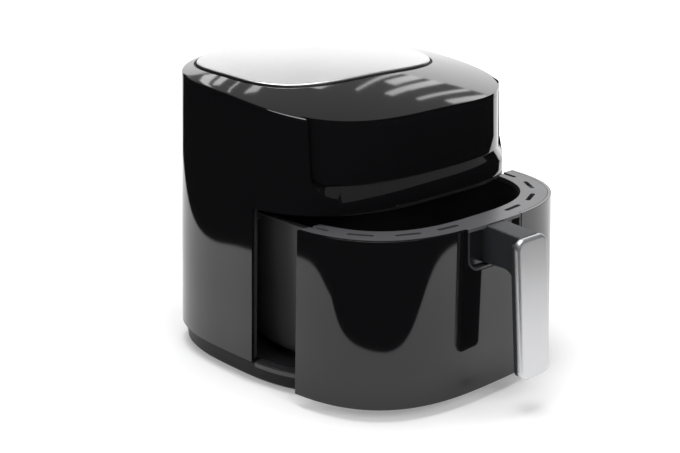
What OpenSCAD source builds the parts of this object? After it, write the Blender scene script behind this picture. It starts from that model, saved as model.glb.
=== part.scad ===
// Drum air fryer with a pull-out drawer, drawn with the drawer part open.
// X runs across the machine, -Y is the front, Z is up and Z = 0 is the table.
// Every piece is drawn about the body's own centre line and then moved by place().

/* [Body] */
// Width of the body at its foot
body_w = 300; // [250:1:360]
// Depth of the body at its foot, without the handle
body_d = 284; // [236:1:341]
// Height of the lid's crown above the table
crown_z = 281; // [234:1:340]
// Height of the upper housing, from the chamber ceiling to the crown
head_h = 104; // [100:1:125]
// Squareness of the plan, where 2 is an ellipse
plan_n = 2.9; // [2.4:0.1:3.6]
// Inward lean of the walls for each unit of height
lean = 0.03; // [0:0.005:0.04]
// Thickness of the moulded housing walls
wall = 3; // [2:0.5:4]
// Height of the side wall's lower edge above the table
skirt_z = 23; // [19:1:28]
// Place of the upright seam between side shell and front, behind the front
seam_y = -35; // [-45:1:-28]
// Height of the table clearance under the base
foot_h = 4; // [3:0.5:6]

/* [Lid] */
// Thickness of the lid's edge
lid_edge = 4; // [3:0.5:6]
// Rise of the lid towards the back, for each unit of depth
lid_rise = 0.093; // [0.05:0.005:0.12]
// Fall of the lid from its middle to each side
lid_fall_side = 12.6; // [4:0.2:15]
// Fall of the lid from its middle to the front and back
lid_fall_front = 13.5; // [4:0.5:15]
// Width of the metal disc
disc_w = 227; // [189:1:240]
// Depth of the metal disc
disc_d = 176; // [147:1:186]
// Distance of the disc's middle behind the body's middle
disc_y = 40; // [30:1:42]
// Height of the disc above the lid
disc_lift = 2; // [1:0.5:3]
// Width of the black ring round the disc
ring_w = 2.5; // [1.5:0.5:4]

/* [Control panel] */
// Width of the recess that holds the control panel
panel_w = 252; // [210:1:270]
// Depth of the recess
recess = 6; // [5:0.5:9]
// Thickness of the control lens
lens_t = 2; // [1.5:0.5:3]
// Height of the foot of the sloping ledge above the chamber ceiling
ledge_low = 12; // [9:1:16]
// Height of the sloping ledge
ledge_h = 11; // [7:1:14]

/* [Drawer] */
// How far the drawer stands out at rest
pull = 60; // [10:1:120]
// Gap between the drawer and the housing above it
drawer_gap = 6; // [4:0.5:9]
// How far the drawer front hangs below the side wall
front_drop = 11.3; // [6:0.1:14]
// Width of the basket inside
basket_w = 240; // [200:1:244]
// Depth of the basket inside
basket_d = 232; // [193:1:234]
// Distance of the basket's middle behind the body's middle
basket_y = 4; // [2:1:5]
// Thickness of the basket's sheet
sheet = 1.2; // [0.8:0.1:2]
// Width of the basket's flange
flange = 5; // [4:0.5:5]
// Depth of the rim frame's moulding
rim_h = 6; // [4:0.5:9]

/* [Handle] */
// Width of the neck
neck_w = 25; // [20:1:32]
// Height of the neck where it leaves the drawer
neck_h = 32; // [26:1:40]
// Distance from the drawer front to the inside of the grip
finger_gap = 30; // [26:1:36]
// Width of the grip
grip_w = 40; // [33:1:48]
// Height of the grip
grip_h = 125; // [104:1:128]
// Thickness of the grip, cover and core together
grip_t = 12; // [10:1:15]
// Outward lean of the grip at its lower end
grip_kick = 11; // [4:1:14]

/* [Heater and fan] */
// Distance from the heater dome to the nearest side of the body
dome_gap = 38; // [36:1:46]
// Height of the heater dome
dome_h = 27; // [26:1:30]
// Diameter of the heater's tube
heater_d = 7; // [6:0.5:8]
// Diameter of the motor shaft
shaft_d = 6; // [5:0.5:7]
// Thickness of the motor's laminated core
core_h = 16; // [13:1:18]

/* [Tray] */
// Height of the tray above the basket's floor
tray_lift = 9; // [7:1:14]
// Diameter of the tray's round holes
tray_hole = 7; // [5:0.5:9]

/* [Hidden] */
$fn = 48;
RING = 56;                              // points round the plan
fit_gap = 0.3;                          // between pieces that meet
bear_gap = 0.05;                        // radial play of the shaft
eps = 0.01;

ceiling_z = crown_z - head_h;           // underside of the chamber ceiling
ceiling_t = 2.5;
ceiling_top = ceiling_z + ceiling_t;
lid_half_d = body_d / 2;
front_top = ceiling_z - drawer_gap - 6; // top of the drawer front
front_low = skirt_z - front_drop;       // foot of the drawer front
arch_z = ceiling_z - 6;                 // lower edge of the upper housing at the seam
arch_rise = 0.04;                       // how it rises towards the front

base_in = 4;                            // inset of the base behind the skirt line
floor_t = 2;
lip_w = 8.5;
bay_floor_top = skirt_z - 2.5;

liner_in = 8;                           // inset of the bay liner
liner_t = 2;

basket_low = skirt_z + 2;
basket_top = front_top - rim_h;
basket_draft = 4;
rail_gap = 0.4;

dome_r = min(body_w, body_d) / 2 - dome_gap;
dome_top = ceiling_top + dome_h;
sheet_t = 1;
heater_r1 = dome_r - 20;
heater_r2 = dome_r - 42;
heater_z = ceiling_top + heater_d / 2 + 1;
terminal_x = 16;
probe_r = dome_r - 29;
probe_a = 135;
hot_fan_r = dome_r - 33;
hot_fan_z = dome_top - 8;
blade_h = 9;

wool_t = 6;
wool_r = dome_r - 8;
post_r = 38;
bracket_z = dome_top + wool_t + 6.5;
plate_t = 2.5;
bridge_z = bracket_z + plate_t;
core_z = bridge_z + 5;
bridge2_z = core_z + core_h + 3;
cool_fan_z = bridge2_z + 5;
shaft_top = cool_fan_z + 12;
shaft_low = hot_fan_z - 9;
bore_r = 13;
core_back = 58;
board_z = bracket_z + 1;
board_x = -84;

disc_n = 3;
pocket_z = crown_z - 9.5;               // plane that the disc stands on
pocket_rise = 0.03;

gland_x = 45;
gland_z = skirt_z + 30;
gland_r = 8;
cord_r = 3.6;
vent_w = 116;
vent_low = ceiling_top + 14;
vent_h = 46;

switch_x = 40;
tab_w = 8;
plunger_r = 2;
press_gap = 0.3;

foot_r = 10;
foot_x = body_w / 2 - 40;
foot_y = body_d / 2 - 60;

tray_z = basket_low + sheet + tray_lift;
tray_t = 1.5;
tray_in = 9;

neck_top = front_top - 4;
seat_w = 72;
seat_h = front_top - 40;
grip_top = neck_top - 3;
cover_t = 7;                            // silver cover of the grip
core_t = grip_t - cover_t;
front_face_y = -body_d / 2 + lean * (front_top - skirt_z);
grip_back_y = front_face_y - finger_gap;

front_extent = pull - grip_back_y + grip_t + grip_kick * (1 - cover_t / 2 / grip_h);
shift_y = (front_extent - body_d / 2) / 2;

// ---------- outline of the body ----------

// Point on a squared-off oval of half-axes a and b, in the direction t
function oval(t, a, b, n) = [a * spow(cos(t), n), b * spow(sin(t), n)];
function spow(v, n) = sign(v) * pow(abs(v), 2 / n);
function wall_xy(t, z, off) =
    oval(t, body_w / 2 - lean * (z - skirt_z) - off, body_d / 2 - lean * (z - skirt_z) - off,
        plan_n);
function ring(z, off) =
    [for (i = [0:RING - 1]) let (p = wall_xy(360 * i / RING, z, off)) [p.x, p.y, z]];

// Height of the lid's crowned surface over a point
function lid_z(x, y) = crown_z + lid_rise * y - lid_fall_side * pow(2 * x / body_w, 2)
    - lid_fall_front * pow(y / lid_half_d, 2);
function lid_point(t, off, drop, f) =
    let (g = wall_xy(t, crown_z - 10, off), z = lid_z(g.x, g.y), p = f * wall_xy(t, z, off))
    [p.x, p.y, lid_z(p.x, p.y) - drop];
function lid_ring(off, drop, f) =
    [for (i = [0:RING - 1]) lid_point(360 * i / RING, off, drop, f)];
lid_steps = [1, 0.965, 0.8, 0.6, 0.35];

// The basket's plan, which has its own centre
function basket_ring(z, off) =
    let (a = basket_w / 2 - off, b = basket_d / 2 - off)
    [for (i = [0:RING - 1]) let (p = oval(360 * i / RING, a, b, plan_n)) [p.x, p.y + basket_y, z]];

// The disc's plan, on a sloping plane or on the lid
function disc_xy(t, off) = oval(t, disc_w / 2 - off, disc_d / 2 - off, disc_n) + [0, disc_y];
function pocket_plane(y) = pocket_z + pocket_rise * y;
function disc_ring_flat(off, drop) =
    [for (i = [0:RING - 1]) let (p = disc_xy(360 * i / RING, off))
        [p.x, p.y, pocket_plane(p.y) - drop]];
function disc_ring_lid(off, lift, f) =
    [for (i = [0:RING - 1])
        let (p = f * (disc_xy(360 * i / RING, off) - [0, disc_y]) + [0, disc_y])
        [p.x, p.y, lid_z(p.x, p.y) + lift]];

// ---------- solids from rings ----------

// A closed solid through a stack of rings, closed flat or by a tip at either end
module skin(rings, low_tip = undef, high_tip = undef) {
    n = len(rings[0]);
    m = len(rings);
    flat = [for (r = rings) for (p = r) p];
    low = is_undef(low_tip) ? [] : [low_tip];
    high = is_undef(high_tip) ? [] : [high_tip];
    sides = [for (j = [0:m - 2]) for (i = [0:n - 1]) let (k = (i + 1) % n)
        [j * n + i, (j + 1) * n + i, (j + 1) * n + k, j * n + k]];
    low_id = len(flat);
    high_id = len(flat) + len(low);
    low_faces = is_undef(low_tip) ? [[for (i = [0:n - 1]) i]]
        : [for (i = [0:n - 1]) [i, (i + 1) % n, low_id]];
    high_faces = is_undef(high_tip) ? [[for (i = [n - 1:-1:0]) (m - 1) * n + i]]
        : [for (i = [0:n - 1]) [(m - 1) * n + (i + 1) % n, (m - 1) * n + i, high_id]];
    polyhedron(concat(flat, low, high), concat(low_faces, sides, high_faces), convexity = 6);
}

// The body's outline from a flat foot up to the lid's surface, lowered by drop
module drum(off, z0, drop) {
    skin(concat([ring(z0, off)], [for (f = lid_steps) lid_ring(off, drop, f)]),
        high_tip = [0, 0, crown_z - drop]);
}

// The body's outline between two flat heights
module slab(off, z0, z1) {
    skin([ring(z0, off), ring(z1, off)]);
}

// A hollow wall between two flat heights
module tube_wall(off, t, z0, z1) {
    difference() {
        slab(off, z0, z1);
        slab(off + t, z0 - 1, z1 + 1);
    }
}

// A round bar swept along points
module bar(points, r, sides = 8) {
    n = len(points);
    rings = [for (i = [0:n - 1])
        let (a = points[max(i - 1, 0)], b = points[min(i + 1, n - 1)], d = (b - a) / norm(b - a),
            u0 = cross(d, [0, 0, 1]), u = u0 / norm(u0), v = cross(u, d))
        [for (k = [0:sides - 1]) let (t = -360 * k / sides)
            points[i] + r * (cos(t) * u + sin(t) * v)]];
    skin(rings);
}

// Moves a piece from the body's own centre line to the middle of the whole object
module place() {
    translate([0, shift_y, 0]) children();
}

// The same for the pieces of the drawer, which stand out by the pull
module place_drawer() {
    translate([0, shift_y - pull, 0]) children();
}

module front_half(gap = 0) {
    translate([-body_w, -body_d - 200, -50]) cube([2 * body_w, body_d + 200 + seam_y - gap, 600]);
}

module back_half() {
    translate([-body_w, seam_y, -50]) cube([2 * body_w, body_d, 600]);
}

// ---------- housing ----------

module rear_window(gap = 0) {
    translate([-vent_w / 2 - gap, 0, vent_low - gap]) cube([vent_w + 2 * gap, body_d, vent_h + 2 * gap]);
}

module gland_axis(z0, z1, r) {
    translate([gland_x, z0, gland_z]) rotate([-90, 0, 0]) cylinder(h = z1 - z0, r = r);
}

module side_shell() {
    place() color("#101012") difference() {
        intersection() {
            drum(0, skirt_z, lid_edge);
            back_half();
        }
        skin([ring(skirt_z - 1, wall), ring(crown_z + 30, wall)]);
        rear_window();
        gland_axis(body_d / 2 - 20, body_d / 2 + 5, gland_r + fit_gap);
    }
}

ledge_z0 = ceiling_z + ledge_low;
ledge_z1 = ledge_z0 + ledge_h;

// What the recess leaves standing: plain wall, a sloping ledge and a set-back wall
module ledge_form(off, drop) {
    out = 2;
    run = ledge_h / recess;
    skin([ring(ceiling_z - 20, off - out), ring(ledge_z0 - drop - out * run, off - out),
        ring(ledge_z1 - drop, off + recess), ring(crown_z + 30, off + recess)]);
}

module recess_cut(off, grow, drop) {
    difference() {
        translate([-panel_w / 2 - grow, -body_d, ceiling_z - 10])
            cube([panel_w + 2 * grow, body_d, head_h + 60]);
        ledge_form(off, drop);
    }
}

// Everything above the arched lower edge of the upper housing
module above_arch(lift = 0) {
    low = arch_z + lift;
    far = body_d;
    rotate([90, 0, 90]) translate([0, 0, -body_w]) linear_extrude(2 * body_w)
        polygon([[seam_y, low], [seam_y - far, low + arch_rise * far], [seam_y - far, 600],
            [seam_y, 600]]);
}

module front_cover() {
    place() color("#0c0c0e") difference() {
        intersection() {
            drum(0, arch_z - 2, lid_edge);
            front_half(fit_gap);
            above_arch();
        }
        recess_cut(0, 0, 0);
        difference() {
            skin([ring(arch_z - 9, wall), ring(crown_z + 30, wall)]);
            recess_cut(wall, wall, wall);
        }
        translate([-44, -body_d, ledge_z1 + 14]) cube([88, body_d, 22]);
    }
}

module control_lens() {
    place() color("#050506") intersection() {
        difference() {
            drum(recess - lens_t, ledge_z1 + 0.5, lid_edge + fit_gap);
            skin([ring(ledge_z1 - 5, recess - 0.15), ring(crown_z + 30, recess - 0.15)]);
        }
        translate([-panel_w / 2 + 0.5, -body_d, 0]) cube([panel_w - 1, body_d, crown_z + 30]);
    }
}

board_y = -body_d / 2 + lean * head_h * 2 + recess + 16;

module touch_board() {
    place() color("#14532d") translate([-70, board_y, ledge_z1 + 4]) cube([140, 1.6, 40]);
}

module display_module() {
    place() color("#1f2937") translate([-40, board_y - 6, ledge_z1 + 16]) cube([80, 6, 18]);
}

// Room in front of the lens, where the lid's edge stands back with it
module lens_space() {
    off = recess - lens_t;
    difference() {
        translate([-panel_w / 2, -body_d, ceiling_z]) cube([panel_w, body_d, 2 * head_h]);
        skin([ring(ceiling_z - 5, off), ring(ceiling_z + 3 * head_h, off)]);
    }
}

// Room for the disc and its ring, open at the top
module disc_pocket() {
    skin([disc_ring_flat(-ring_w, 0), disc_ring_flat(-ring_w, -40)]);
}

module top_cover() {
    place() color("#141416") union() {
        difference() {
            skin(concat([for (i = [len(lid_steps) - 1:-1:0]) lid_ring(0, lid_edge, lid_steps[i])],
                    [for (f = lid_steps) lid_ring(0, 0, f)]),
                low_tip = [0, 0, crown_z - lid_edge], high_tip = [0, 0, crown_z]);
            disc_pocket();
            lens_space();
        }
        intersection() {
            skin([disc_ring_flat(-ring_w - 1.5, 2), disc_ring_flat(-ring_w - 1.5, 0)]);
            slab(wall + fit_gap, ceiling_z, crown_z + 30);
        }
        // Locating rib inside the shells
        difference() {
            skin([lid_ring(wall + fit_gap, lid_edge + 6, 1), lid_ring(wall + fit_gap, lid_edge - 1, 1)],
                low_tip = [0, 0, crown_z - 20], high_tip = [0, 0, crown_z - 8]);
            skin([lid_ring(wall + 2.3, lid_edge + 40, 1), lid_ring(wall + 2.3, lid_edge - 1.5, 1)],
                low_tip = [0, 0, crown_z - 80], high_tip = [0, 0, crown_z - 1]);
            recess_cut(wall + fit_gap, wall + 1, 0);
            disc_pocket();
        }
    }
}

module top_disc() {
    place() color("silver") difference() {
        skin([disc_ring_flat(0, 0), disc_ring_lid(0, disc_lift - 0.5, 1),
                disc_ring_lid(1, disc_lift, 1), disc_ring_lid(0, disc_lift, 0.7),
                disc_ring_lid(0, disc_lift, 0.4)],
            high_tip = [0, disc_y, lid_z(0, disc_y) + disc_lift]);
        skin([disc_ring_flat(2.5, 1), disc_ring_lid(2.5, disc_lift - 1.5, 1),
                disc_ring_lid(0, disc_lift - 1.5, 0.6)],
            high_tip = [0, disc_y, lid_z(0, disc_y) + disc_lift - 1.5]);
    }
}

module disc_ring() {
    place() color("#08080a") difference() {
        skin([disc_ring_flat(-ring_w + 0.1, 0), disc_ring_lid(-ring_w + 0.1, 0.8, 1)],
            high_tip = [0, disc_y, lid_z(0, disc_y)]);
        skin([disc_ring_flat(-0.1, 5), disc_ring_lid(-0.1, 20, 1)]);
    }
}

// ---------- base ----------

module base_pan() {
    place() color("#17171a") difference() {
        skin([ring(foot_h, base_in + 3), ring(foot_h + 2, base_in + 1.5),
            ring(skirt_z - 2, base_in), ring(skirt_z, base_in + lip_w)]);
        skin([ring(foot_h + 3, base_in + 5), ring(bay_floor_top, base_in + 3.2)]);
        slab(base_in + lip_w + 0.5, bay_floor_top - 1, skirt_z + 1);
        foot_places() translate([0, 0, foot_h - 1]) cylinder(h = 10, r = 1.6);
    }
}

module bay_floor() {
    place() color("#0e0e10") difference() {
        slab(base_in + 4, bay_floor_top - floor_t, bay_floor_top);
        foot_places() translate([0, 0, bay_floor_top - floor_t - 1]) cylinder(h = 10, r = 1.9);
    }
}

module foot_places() {
    for (x = [-1, 1], y = [-1, 1]) translate([x * foot_x, y * foot_y, 0]) children();
}

module feet() {
    place() color("#1c1c1e") foot_places() rotate_extrude()
        polygon([[4.5, 0], [foot_r - 1.5, 0], [foot_r, 1.5], [foot_r - 0.5, foot_h], [2, foot_h],
            [2, 2.6], [4.5, 2.6]]);
}

// Screws that hold the feet and base pan to the bay floor
module base_screws() {
    place() color("silver") foot_places() union() {
        translate([0, 0, 0.8]) cylinder(h = 1.8, r = 3.6);
        translate([0, 0, 2.6]) cylinder(h = bay_floor_top - 3.6, r = 1.5);
    }
}

// Walls of the drawer bay, with a return on each side of the opening
module bay_liner() {
    liner_front = seam_y + 4;
    place() color("#111113") union() {
        intersection() {
            tube_wall(liner_in, liner_t, skirt_z - 0.4, ceiling_z);
            translate([-body_w, liner_front, 0]) cube([2 * body_w, body_d, 500]);
        }
        intersection() {
            difference() {
                slab(wall + fit_gap, bay_floor_top + 6, ceiling_z);
                slab(liner_in + liner_t, bay_floor_top - 1, ceiling_z + 1);
            }
            translate([-body_w, liner_front, 0]) cube([2 * body_w, 2.5, 500]);
        }
    }
}

rail_top = basket_top - rail_gap;
rail_side = 1.2;                        // from the rails to the basket's wall

// Rails that carry the basket's flange on both sides
module slide_rails() {
    rail_y0 = seam_y + 14;
    off = -sheet - rail_side;
    place() color("#1a1a1c") intersection() {
        difference() {
            slab(liner_in + liner_t, rail_top - 5, rail_top);
            skin([basket_ring(rail_top - 6, off), basket_ring(rail_top + 1, off)]);
        }
        translate([-body_w, rail_y0, 0]) cube([2 * body_w, 90, 500]);
    }
}

// ---------- heating chamber ----------

module chamber_ceiling() {
    place() color("#8a8d91") difference() {
        slab(liner_in - 3, ceiling_z, ceiling_top);
        translate([0, 0, ceiling_z - 1]) cylinder(h = 5, r = dome_r, $fn = 96);
        ceiling_screw_places() translate([0, 0, ceiling_z - 1]) cylinder(h = 5, r = 1.6);
        translate([switch_x, tab_y, ceiling_z - 1]) cylinder(h = 5, r = plunger_r + 0.3);
    }
}

module ceiling_screw_places() {
    for (a = [20, 90, 160, 200, 270, 340]) rotate(a) translate([dome_r + 4.5, 0, 0]) children();
}

module heater_dome() {
    r = dome_r - 0.5;
    place() color("#a5a8ab") difference() {
        rotate_extrude($fn = 96) polygon([[8, dome_top - sheet_t], [r - 9 - sheet_t, dome_top - sheet_t],
            [r - sheet_t, dome_top - 9], [r - sheet_t, ceiling_top], [r + 8, ceiling_top],
            [r + 8, ceiling_top + sheet_t], [r, ceiling_top + sheet_t], [r, dome_top - 8.5],
            [r - 8.5, dome_top], [8, dome_top]]);
        ceiling_screw_places() translate([0, 0, ceiling_top - 1]) cylinder(h = 5, r = 1.6);
        terminals() translate([0, 0, dome_top - 5]) cylinder(h = 10, r = stem_d / 2 + 0.4);
        rotate(probe_a) translate([probe_r, 0, dome_top - 5]) cylinder(h = 10, r = 2.6);
        for (a = [0, 120, 240]) rotate(a + 60) translate([post_r, 0, dome_top - 5])
            cylinder(h = 10, r = 1.6);
    }
}

// Mineral-fibre blanket over the dome
module heat_blanket() {
    place() color("#d8d4c8") difference() {
        translate([0, 0, dome_top]) cylinder(h = wool_t, r = wool_r, $fn = 96);
        translate([0, 0, dome_top - 1]) cylinder(h = wool_t + 2, r = 12);
        terminals() translate([0, 0, dome_top - 1]) cylinder(h = wool_t + 2, r = 8);
        rotate(probe_a) translate([probe_r, 0, dome_top - 1]) cylinder(h = wool_t + 2, r = 7);
        for (a = [0, 120, 240]) rotate(a + 60) translate([post_r, 0, dome_top - 1])
            cylinder(h = wool_t + 2, r = 5);
    }
}

function arc(r, a0, a1, n) = [for (i = [0:n]) let (a = a0 + (a1 - a0) * i / n)
    [r * cos(a), r * sin(a), heater_z]];

terminal_a = asin(terminal_x / heater_r1);
element_gap = 12;
stem_d = heater_d + 0.6;

// The two places where the heater's ends stand up through the dome
module terminals() {
    for (s = [-1, 1]) rotate(90 + s * terminal_a) translate([heater_r1, 0, 0]) children();
}

// One tube bent into an outer and an inner ring, with both ends turned up through the dome
module heating_element() {
    outer1 = arc(heater_r1, 90 + terminal_a, 360 - element_gap, 32);
    inner = arc(heater_r2, 360 - element_gap - 2, element_gap + 2, 40);
    outer2 = arc(heater_r1, element_gap, 90 - terminal_a, 10);
    place() color("#4a4642") union() {
        bar(concat(outer1, inner, outer2), heater_d / 2, 10);
        terminals() {
            translate([0, 0, heater_z - heater_d / 2 - 0.2])
                cylinder(h = dome_top + 12 - heater_z + heater_d / 2, d = stem_d);
            translate([0, 0, dome_top + 11]) cylinder(h = 7, d = 3);
        }
    }
}

module element_bushings() {
    place() color("ivory") terminals() translate([0, 0, dome_top]) difference() {
        cylinder(h = 8, r = 6);
        translate([0, 0, -1]) cylinder(h = 10, d = stem_d + 0.1);
    }
}

module element_guard() {
    wire = 2.2;
    z = ceiling_z - wire / 2;
    place() color("silver") union() {
        for (r = [dome_r + 1.5, dome_r - 22, dome_r - 45, dome_r - 68])
            translate([0, 0, z]) rotate_extrude($fn = 72) translate([r, 0]) circle(d = wire, $fn = 16);
        for (a = [0:60:179]) rotate([0, 90, a]) translate([-z + wire * 0.8, 0, -dome_r - 1.5])
            cylinder(h = 2 * dome_r + 3, d = wire, $fn = 16);
    }
}

module temperature_probe() {
    place() color("#c9ccd1") rotate(probe_a) translate([probe_r, 0, 0]) union() {
        translate([0, 0, ceiling_top - 1]) cylinder(h = dome_top - ceiling_top + 1, r = 2.4);
        translate([0, 0, dome_top]) cylinder(h = 2, r = 5.5, $fn = 6);
        translate([0, 0, dome_top + 2]) cylinder(h = 9, r = 2);
    }
}

module thermal_fuse() {
    place() color("#b08d57") rotate(225) translate([dome_r + 18, 0, ceiling_top]) union() {
        translate([-5, -12, 0]) cube([10, 24, 1.2]);
        for (y = [-8, 8]) translate([-2.5, y - 1, 1]) cube([5, 2, 4]);
        translate([0, -11, 5]) rotate([-90, 0, 0]) cylinder(h = 22, r = 2.2);
    }
}

// ---------- motor ----------

module motor_bracket() {
    place() color("#9aa0a6") difference() {
        union() {
            translate([0, 0, bracket_z]) cylinder(h = plate_t, r = post_r + 7);
            for (a = [0, 120, 240]) rotate(a + 60) translate([post_r, 0, dome_top])
                cylinder(h = bracket_z - dome_top + 1, r = 4);
        }
        translate([0, 0, bracket_z - 1]) cylinder(h = 5, r = 9);
        for (a = [0, 120, 240]) rotate(a + 60) translate([post_r, 0, dome_top - 1])
            cylinder(h = bracket_z - dome_top + 9, r = 1.6);
        for (y = [-19, 19]) translate([0, y, bracket_z - 1]) cylinder(h = 5, r = 1.7);
    }
}

bush_r = 5;
bush_h = 6;

module bridge_strip(z, low_post, high_post) {
    difference() {
        union() {
            translate([-7, -24, z]) cube([14, 48, 2]);
            for (y = [-19, 19]) translate([0, y, z - low_post])
                cylinder(h = 2 + low_post + high_post, r = 3.5);
            translate([0, 0, z]) cylinder(h = 4, r = bush_r + 2);
        }
        translate([0, 0, z - 1]) cylinder(h = 8, r = bush_r);
        for (y = [-19, 19]) translate([0, y, z - low_post - 1])
            cylinder(h = 8 + low_post + high_post, r = 1.7);
    }
}

module lower_bridge() {
    place() color("#b8bcc2") bridge_strip(bridge_z, 0, core_z - bridge_z - 2);
}

module upper_bridge() {
    place() color("#b8bcc2") bridge_strip(bridge2_z, bridge2_z - core_z - core_h, 0);
}

module motor_bearings() {
    place() color("#b5853b") for (z = [bridge_z - 1, bridge2_z - 1]) translate([0, 0, z]) difference() {
        cylinder(h = bush_h - 1, r = bush_r);
        translate([0, 0, -1]) cylinder(h = bush_h + 2, r = shaft_d / 2 + bear_gap);
    }
}

limb_x = 44;

module stator_core() {
    place() color("#5b6068") difference() {
        translate([-22, -25, core_z]) cube([22 + core_back, 50, core_h]);
        translate([0, 0, core_z - 1]) cylinder(h = core_h + 2, r = bore_r);
        translate([20, -15, core_z - 1]) cube([limb_x - 20, 30, core_h + 2]);
        for (y = [-19, 19]) translate([0, y, core_z - 1]) cylinder(h = core_h + 2, r = 1.7);
    }
}

module motor_coil() {
    place() color("#a35a1f") difference() {
        translate([limb_x - 10, -14.5, core_z - 4.5])
            cube([core_back - limb_x + 17, 29, core_h + 11.5]);
        translate([limb_x - 0.2, -30, core_z - 0.2])
            cube([core_back - limb_x + 0.4, 60, core_h + 0.4]);
    }
}

// Through screws of the motor stack and the screws of its three posts
module motor_screws() {
    place() color("silver") union() {
        for (y = [-19, 19]) translate([0, y, 0]) {
            translate([0, 0, bracket_z]) cylinder(h = bridge2_z + 2 - bracket_z, r = 1.6);
            translate([0, 0, bridge2_z + 2]) cylinder(h = 2, r = 3);
        }
        for (a = [0, 120, 240]) rotate(a + 60) translate([post_r, 0, 0]) {
            translate([0, 0, dome_top - 4]) cylinder(h = bracket_z + plate_t + 4 - dome_top, r = 1.5);
            translate([0, 0, bracket_z + plate_t]) cylinder(h = 2, r = 3);
        }
    }
}

// ---------- rotor ----------

shaft_r = shaft_d / 2;

module motor_shaft() {
    place() color("#d0d3d8") translate([0, 0, shaft_low]) cylinder(h = shaft_top - shaft_low, r = shaft_r);
}

module rotor_core() {
    place() color("#70757d") translate([0, 0, core_z + 1]) difference() {
        cylinder(h = core_h - 2, r = bore_r - 0.4);
        translate([0, 0, -1]) cylinder(h = core_h + 2, r = shaft_r);
    }
}

module hot_fan() {
    place() color("#c2c5ca") difference() {
        union() {
            translate([0, 0, hot_fan_z]) cylinder(h = 1.2, r = hot_fan_r, $fn = 72);
            translate([0, 0, hot_fan_z - 4]) cylinder(h = 8, r = 8);
            for (a = [0:36:359]) rotate(a) translate([18, 0, hot_fan_z - blade_h])
                cube([hot_fan_r - 19, 1.2, blade_h + 0.5]);
        }
        translate([0, 0, hot_fan_z - 10]) cylinder(h = 20, r = shaft_r);
    }
}

module fan_nut() {
    place() color("#d8b25a") difference() {
        translate([0, 0, hot_fan_z - 8.5]) cylinder(h = 4.5, r = 6, $fn = 6);
        translate([0, 0, hot_fan_z - 10]) cylinder(h = 8, r = shaft_r);
    }
}

module cooling_fan() {
    place() color("#2a2d31") difference() {
        union() {
            translate([0, 0, cool_fan_z]) cylinder(h = 10, r = 7);
            translate([0, 0, cool_fan_z]) cylinder(h = 1.5, r = 20);
            for (a = [0:40:359]) rotate(a) translate([5, 0, cool_fan_z]) rotate([12, 0, 0])
                cube([38, 1.5, 9]);
        }
        translate([0, 0, cool_fan_z - 3]) cylinder(h = 20, r = shaft_r);
    }
}

// ---------- electrics ----------

module power_board() {
    place() color("#1b5e3a") difference() {
        translate([board_x - 22, -36, board_z]) cube([44, 72, 1.6]);
        board_posts() translate([0, 0, board_z - 1]) cylinder(h = 4, r = 1.6);
    }
}

module board_posts() {
    for (x = [-18, 18], y = [-31, 31]) translate([board_x + x, y, 0]) children();
}

module board_parts() {
    top = board_z + 1.6;
    place() color("#3b3f46") union() {
        board_posts() translate([0, 0, dome_top + wool_t]) cylinder(h = board_z - dome_top - wool_t, r = 2.5);
        board_posts() translate([0, 0, board_z - 0.5]) cylinder(h = 3.5, r = 1.5);
        translate([board_x - 14, -26, top]) cube([28, 20, 18]);
        translate([board_x - 15, 2, top]) cube([16, 20, 15]);
        translate([board_x + 10, 10, top]) cylinder(h = 16, r = 6);
    }
}

module rear_vent() {
    place() color("#0d0d0f") difference() {
        intersection() {
            tube_wall(0.4, wall - 0.8, vent_low + 0.4, vent_low + vent_h - 0.4);
            translate([-vent_w / 2 + 0.4, 0, 0]) cube([vent_w - 0.8, body_d, 500]);
        }
        for (i = [-5:5]) translate([i * 10 - 2.5, 0, vent_low + 6]) cube([5, body_d, vent_h - 12]);
    }
}

// Distance of the back wall behind a point at the side of the middle line
function wall_y(x, z) =
    let (a = body_w / 2 - lean * (z - skirt_z), b = body_d / 2 - lean * (z - skirt_z))
    b * pow(1 - pow(x / a, plan_n), 1 / plan_n);

gland_flange = 2.5;
gland_face = wall_y(gland_x - gland_r - gland_flange, gland_z) - 0.5;

module cord_gland() {
    place() color("#1a1a1a") difference() {
        union() {
            gland_axis(gland_face - 5, gland_face + 0.5, gland_r);
            gland_axis(gland_face + 0.6, gland_face + 2, gland_r + gland_flange);
            gland_axis(gland_face + 0.4, gland_face + 0.7, gland_r);
        }
        gland_axis(gland_face - 8, gland_face + 5, cord_r);
    }
}

// ---------- drawer switch ----------

tab_y = basket_y + basket_d / 2 + sheet + 2.4;
tab_top = basket_top + 12;
plunger_low = tab_top + press_gap;
switch_h = 17;
collar_z = ceiling_top + 4;
spring_top = ceiling_top + switch_h - 2;

module switch_body() {
    place() color("#22252a") translate([switch_x, tab_y, 0]) difference() {
        translate([-7, -6, ceiling_top]) cube([14, 11, switch_h]);
        translate([0, 0, ceiling_top - 1]) cylinder(h = 6, r = plunger_r + 0.3);
        translate([0, 0, collar_z - 0.3]) cylinder(h = spring_top - collar_z + 0.3, r = plunger_r + 1.6);
    }
}

module switch_plunger() {
    place() color("#d9d2c0") translate([switch_x, tab_y, 0]) union() {
        translate([0, 0, plunger_low]) cylinder(h = collar_z + 2 - plunger_low, r = plunger_r);
        translate([0, 0, collar_z]) cylinder(h = 2, r = plunger_r + 1.2);
    }
}

module switch_spring() {
    turns = 4;
    low = collar_z + 2.35;
    high = spring_top - 0.35;
    steps = 12 * turns;
    place() color("silver") translate([switch_x, tab_y, 0])
        bar([for (i = [0:steps]) let (t = 30 * i)
            [(plunger_r + 0.6) * cos(t), (plunger_r + 0.6) * sin(t),
                low + (high - low) * i / steps]], 0.3, 6);
}

// ---------- drawer ----------

function basket_in(z) = basket_draft * (basket_top - z) / (basket_top - basket_low);

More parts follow.
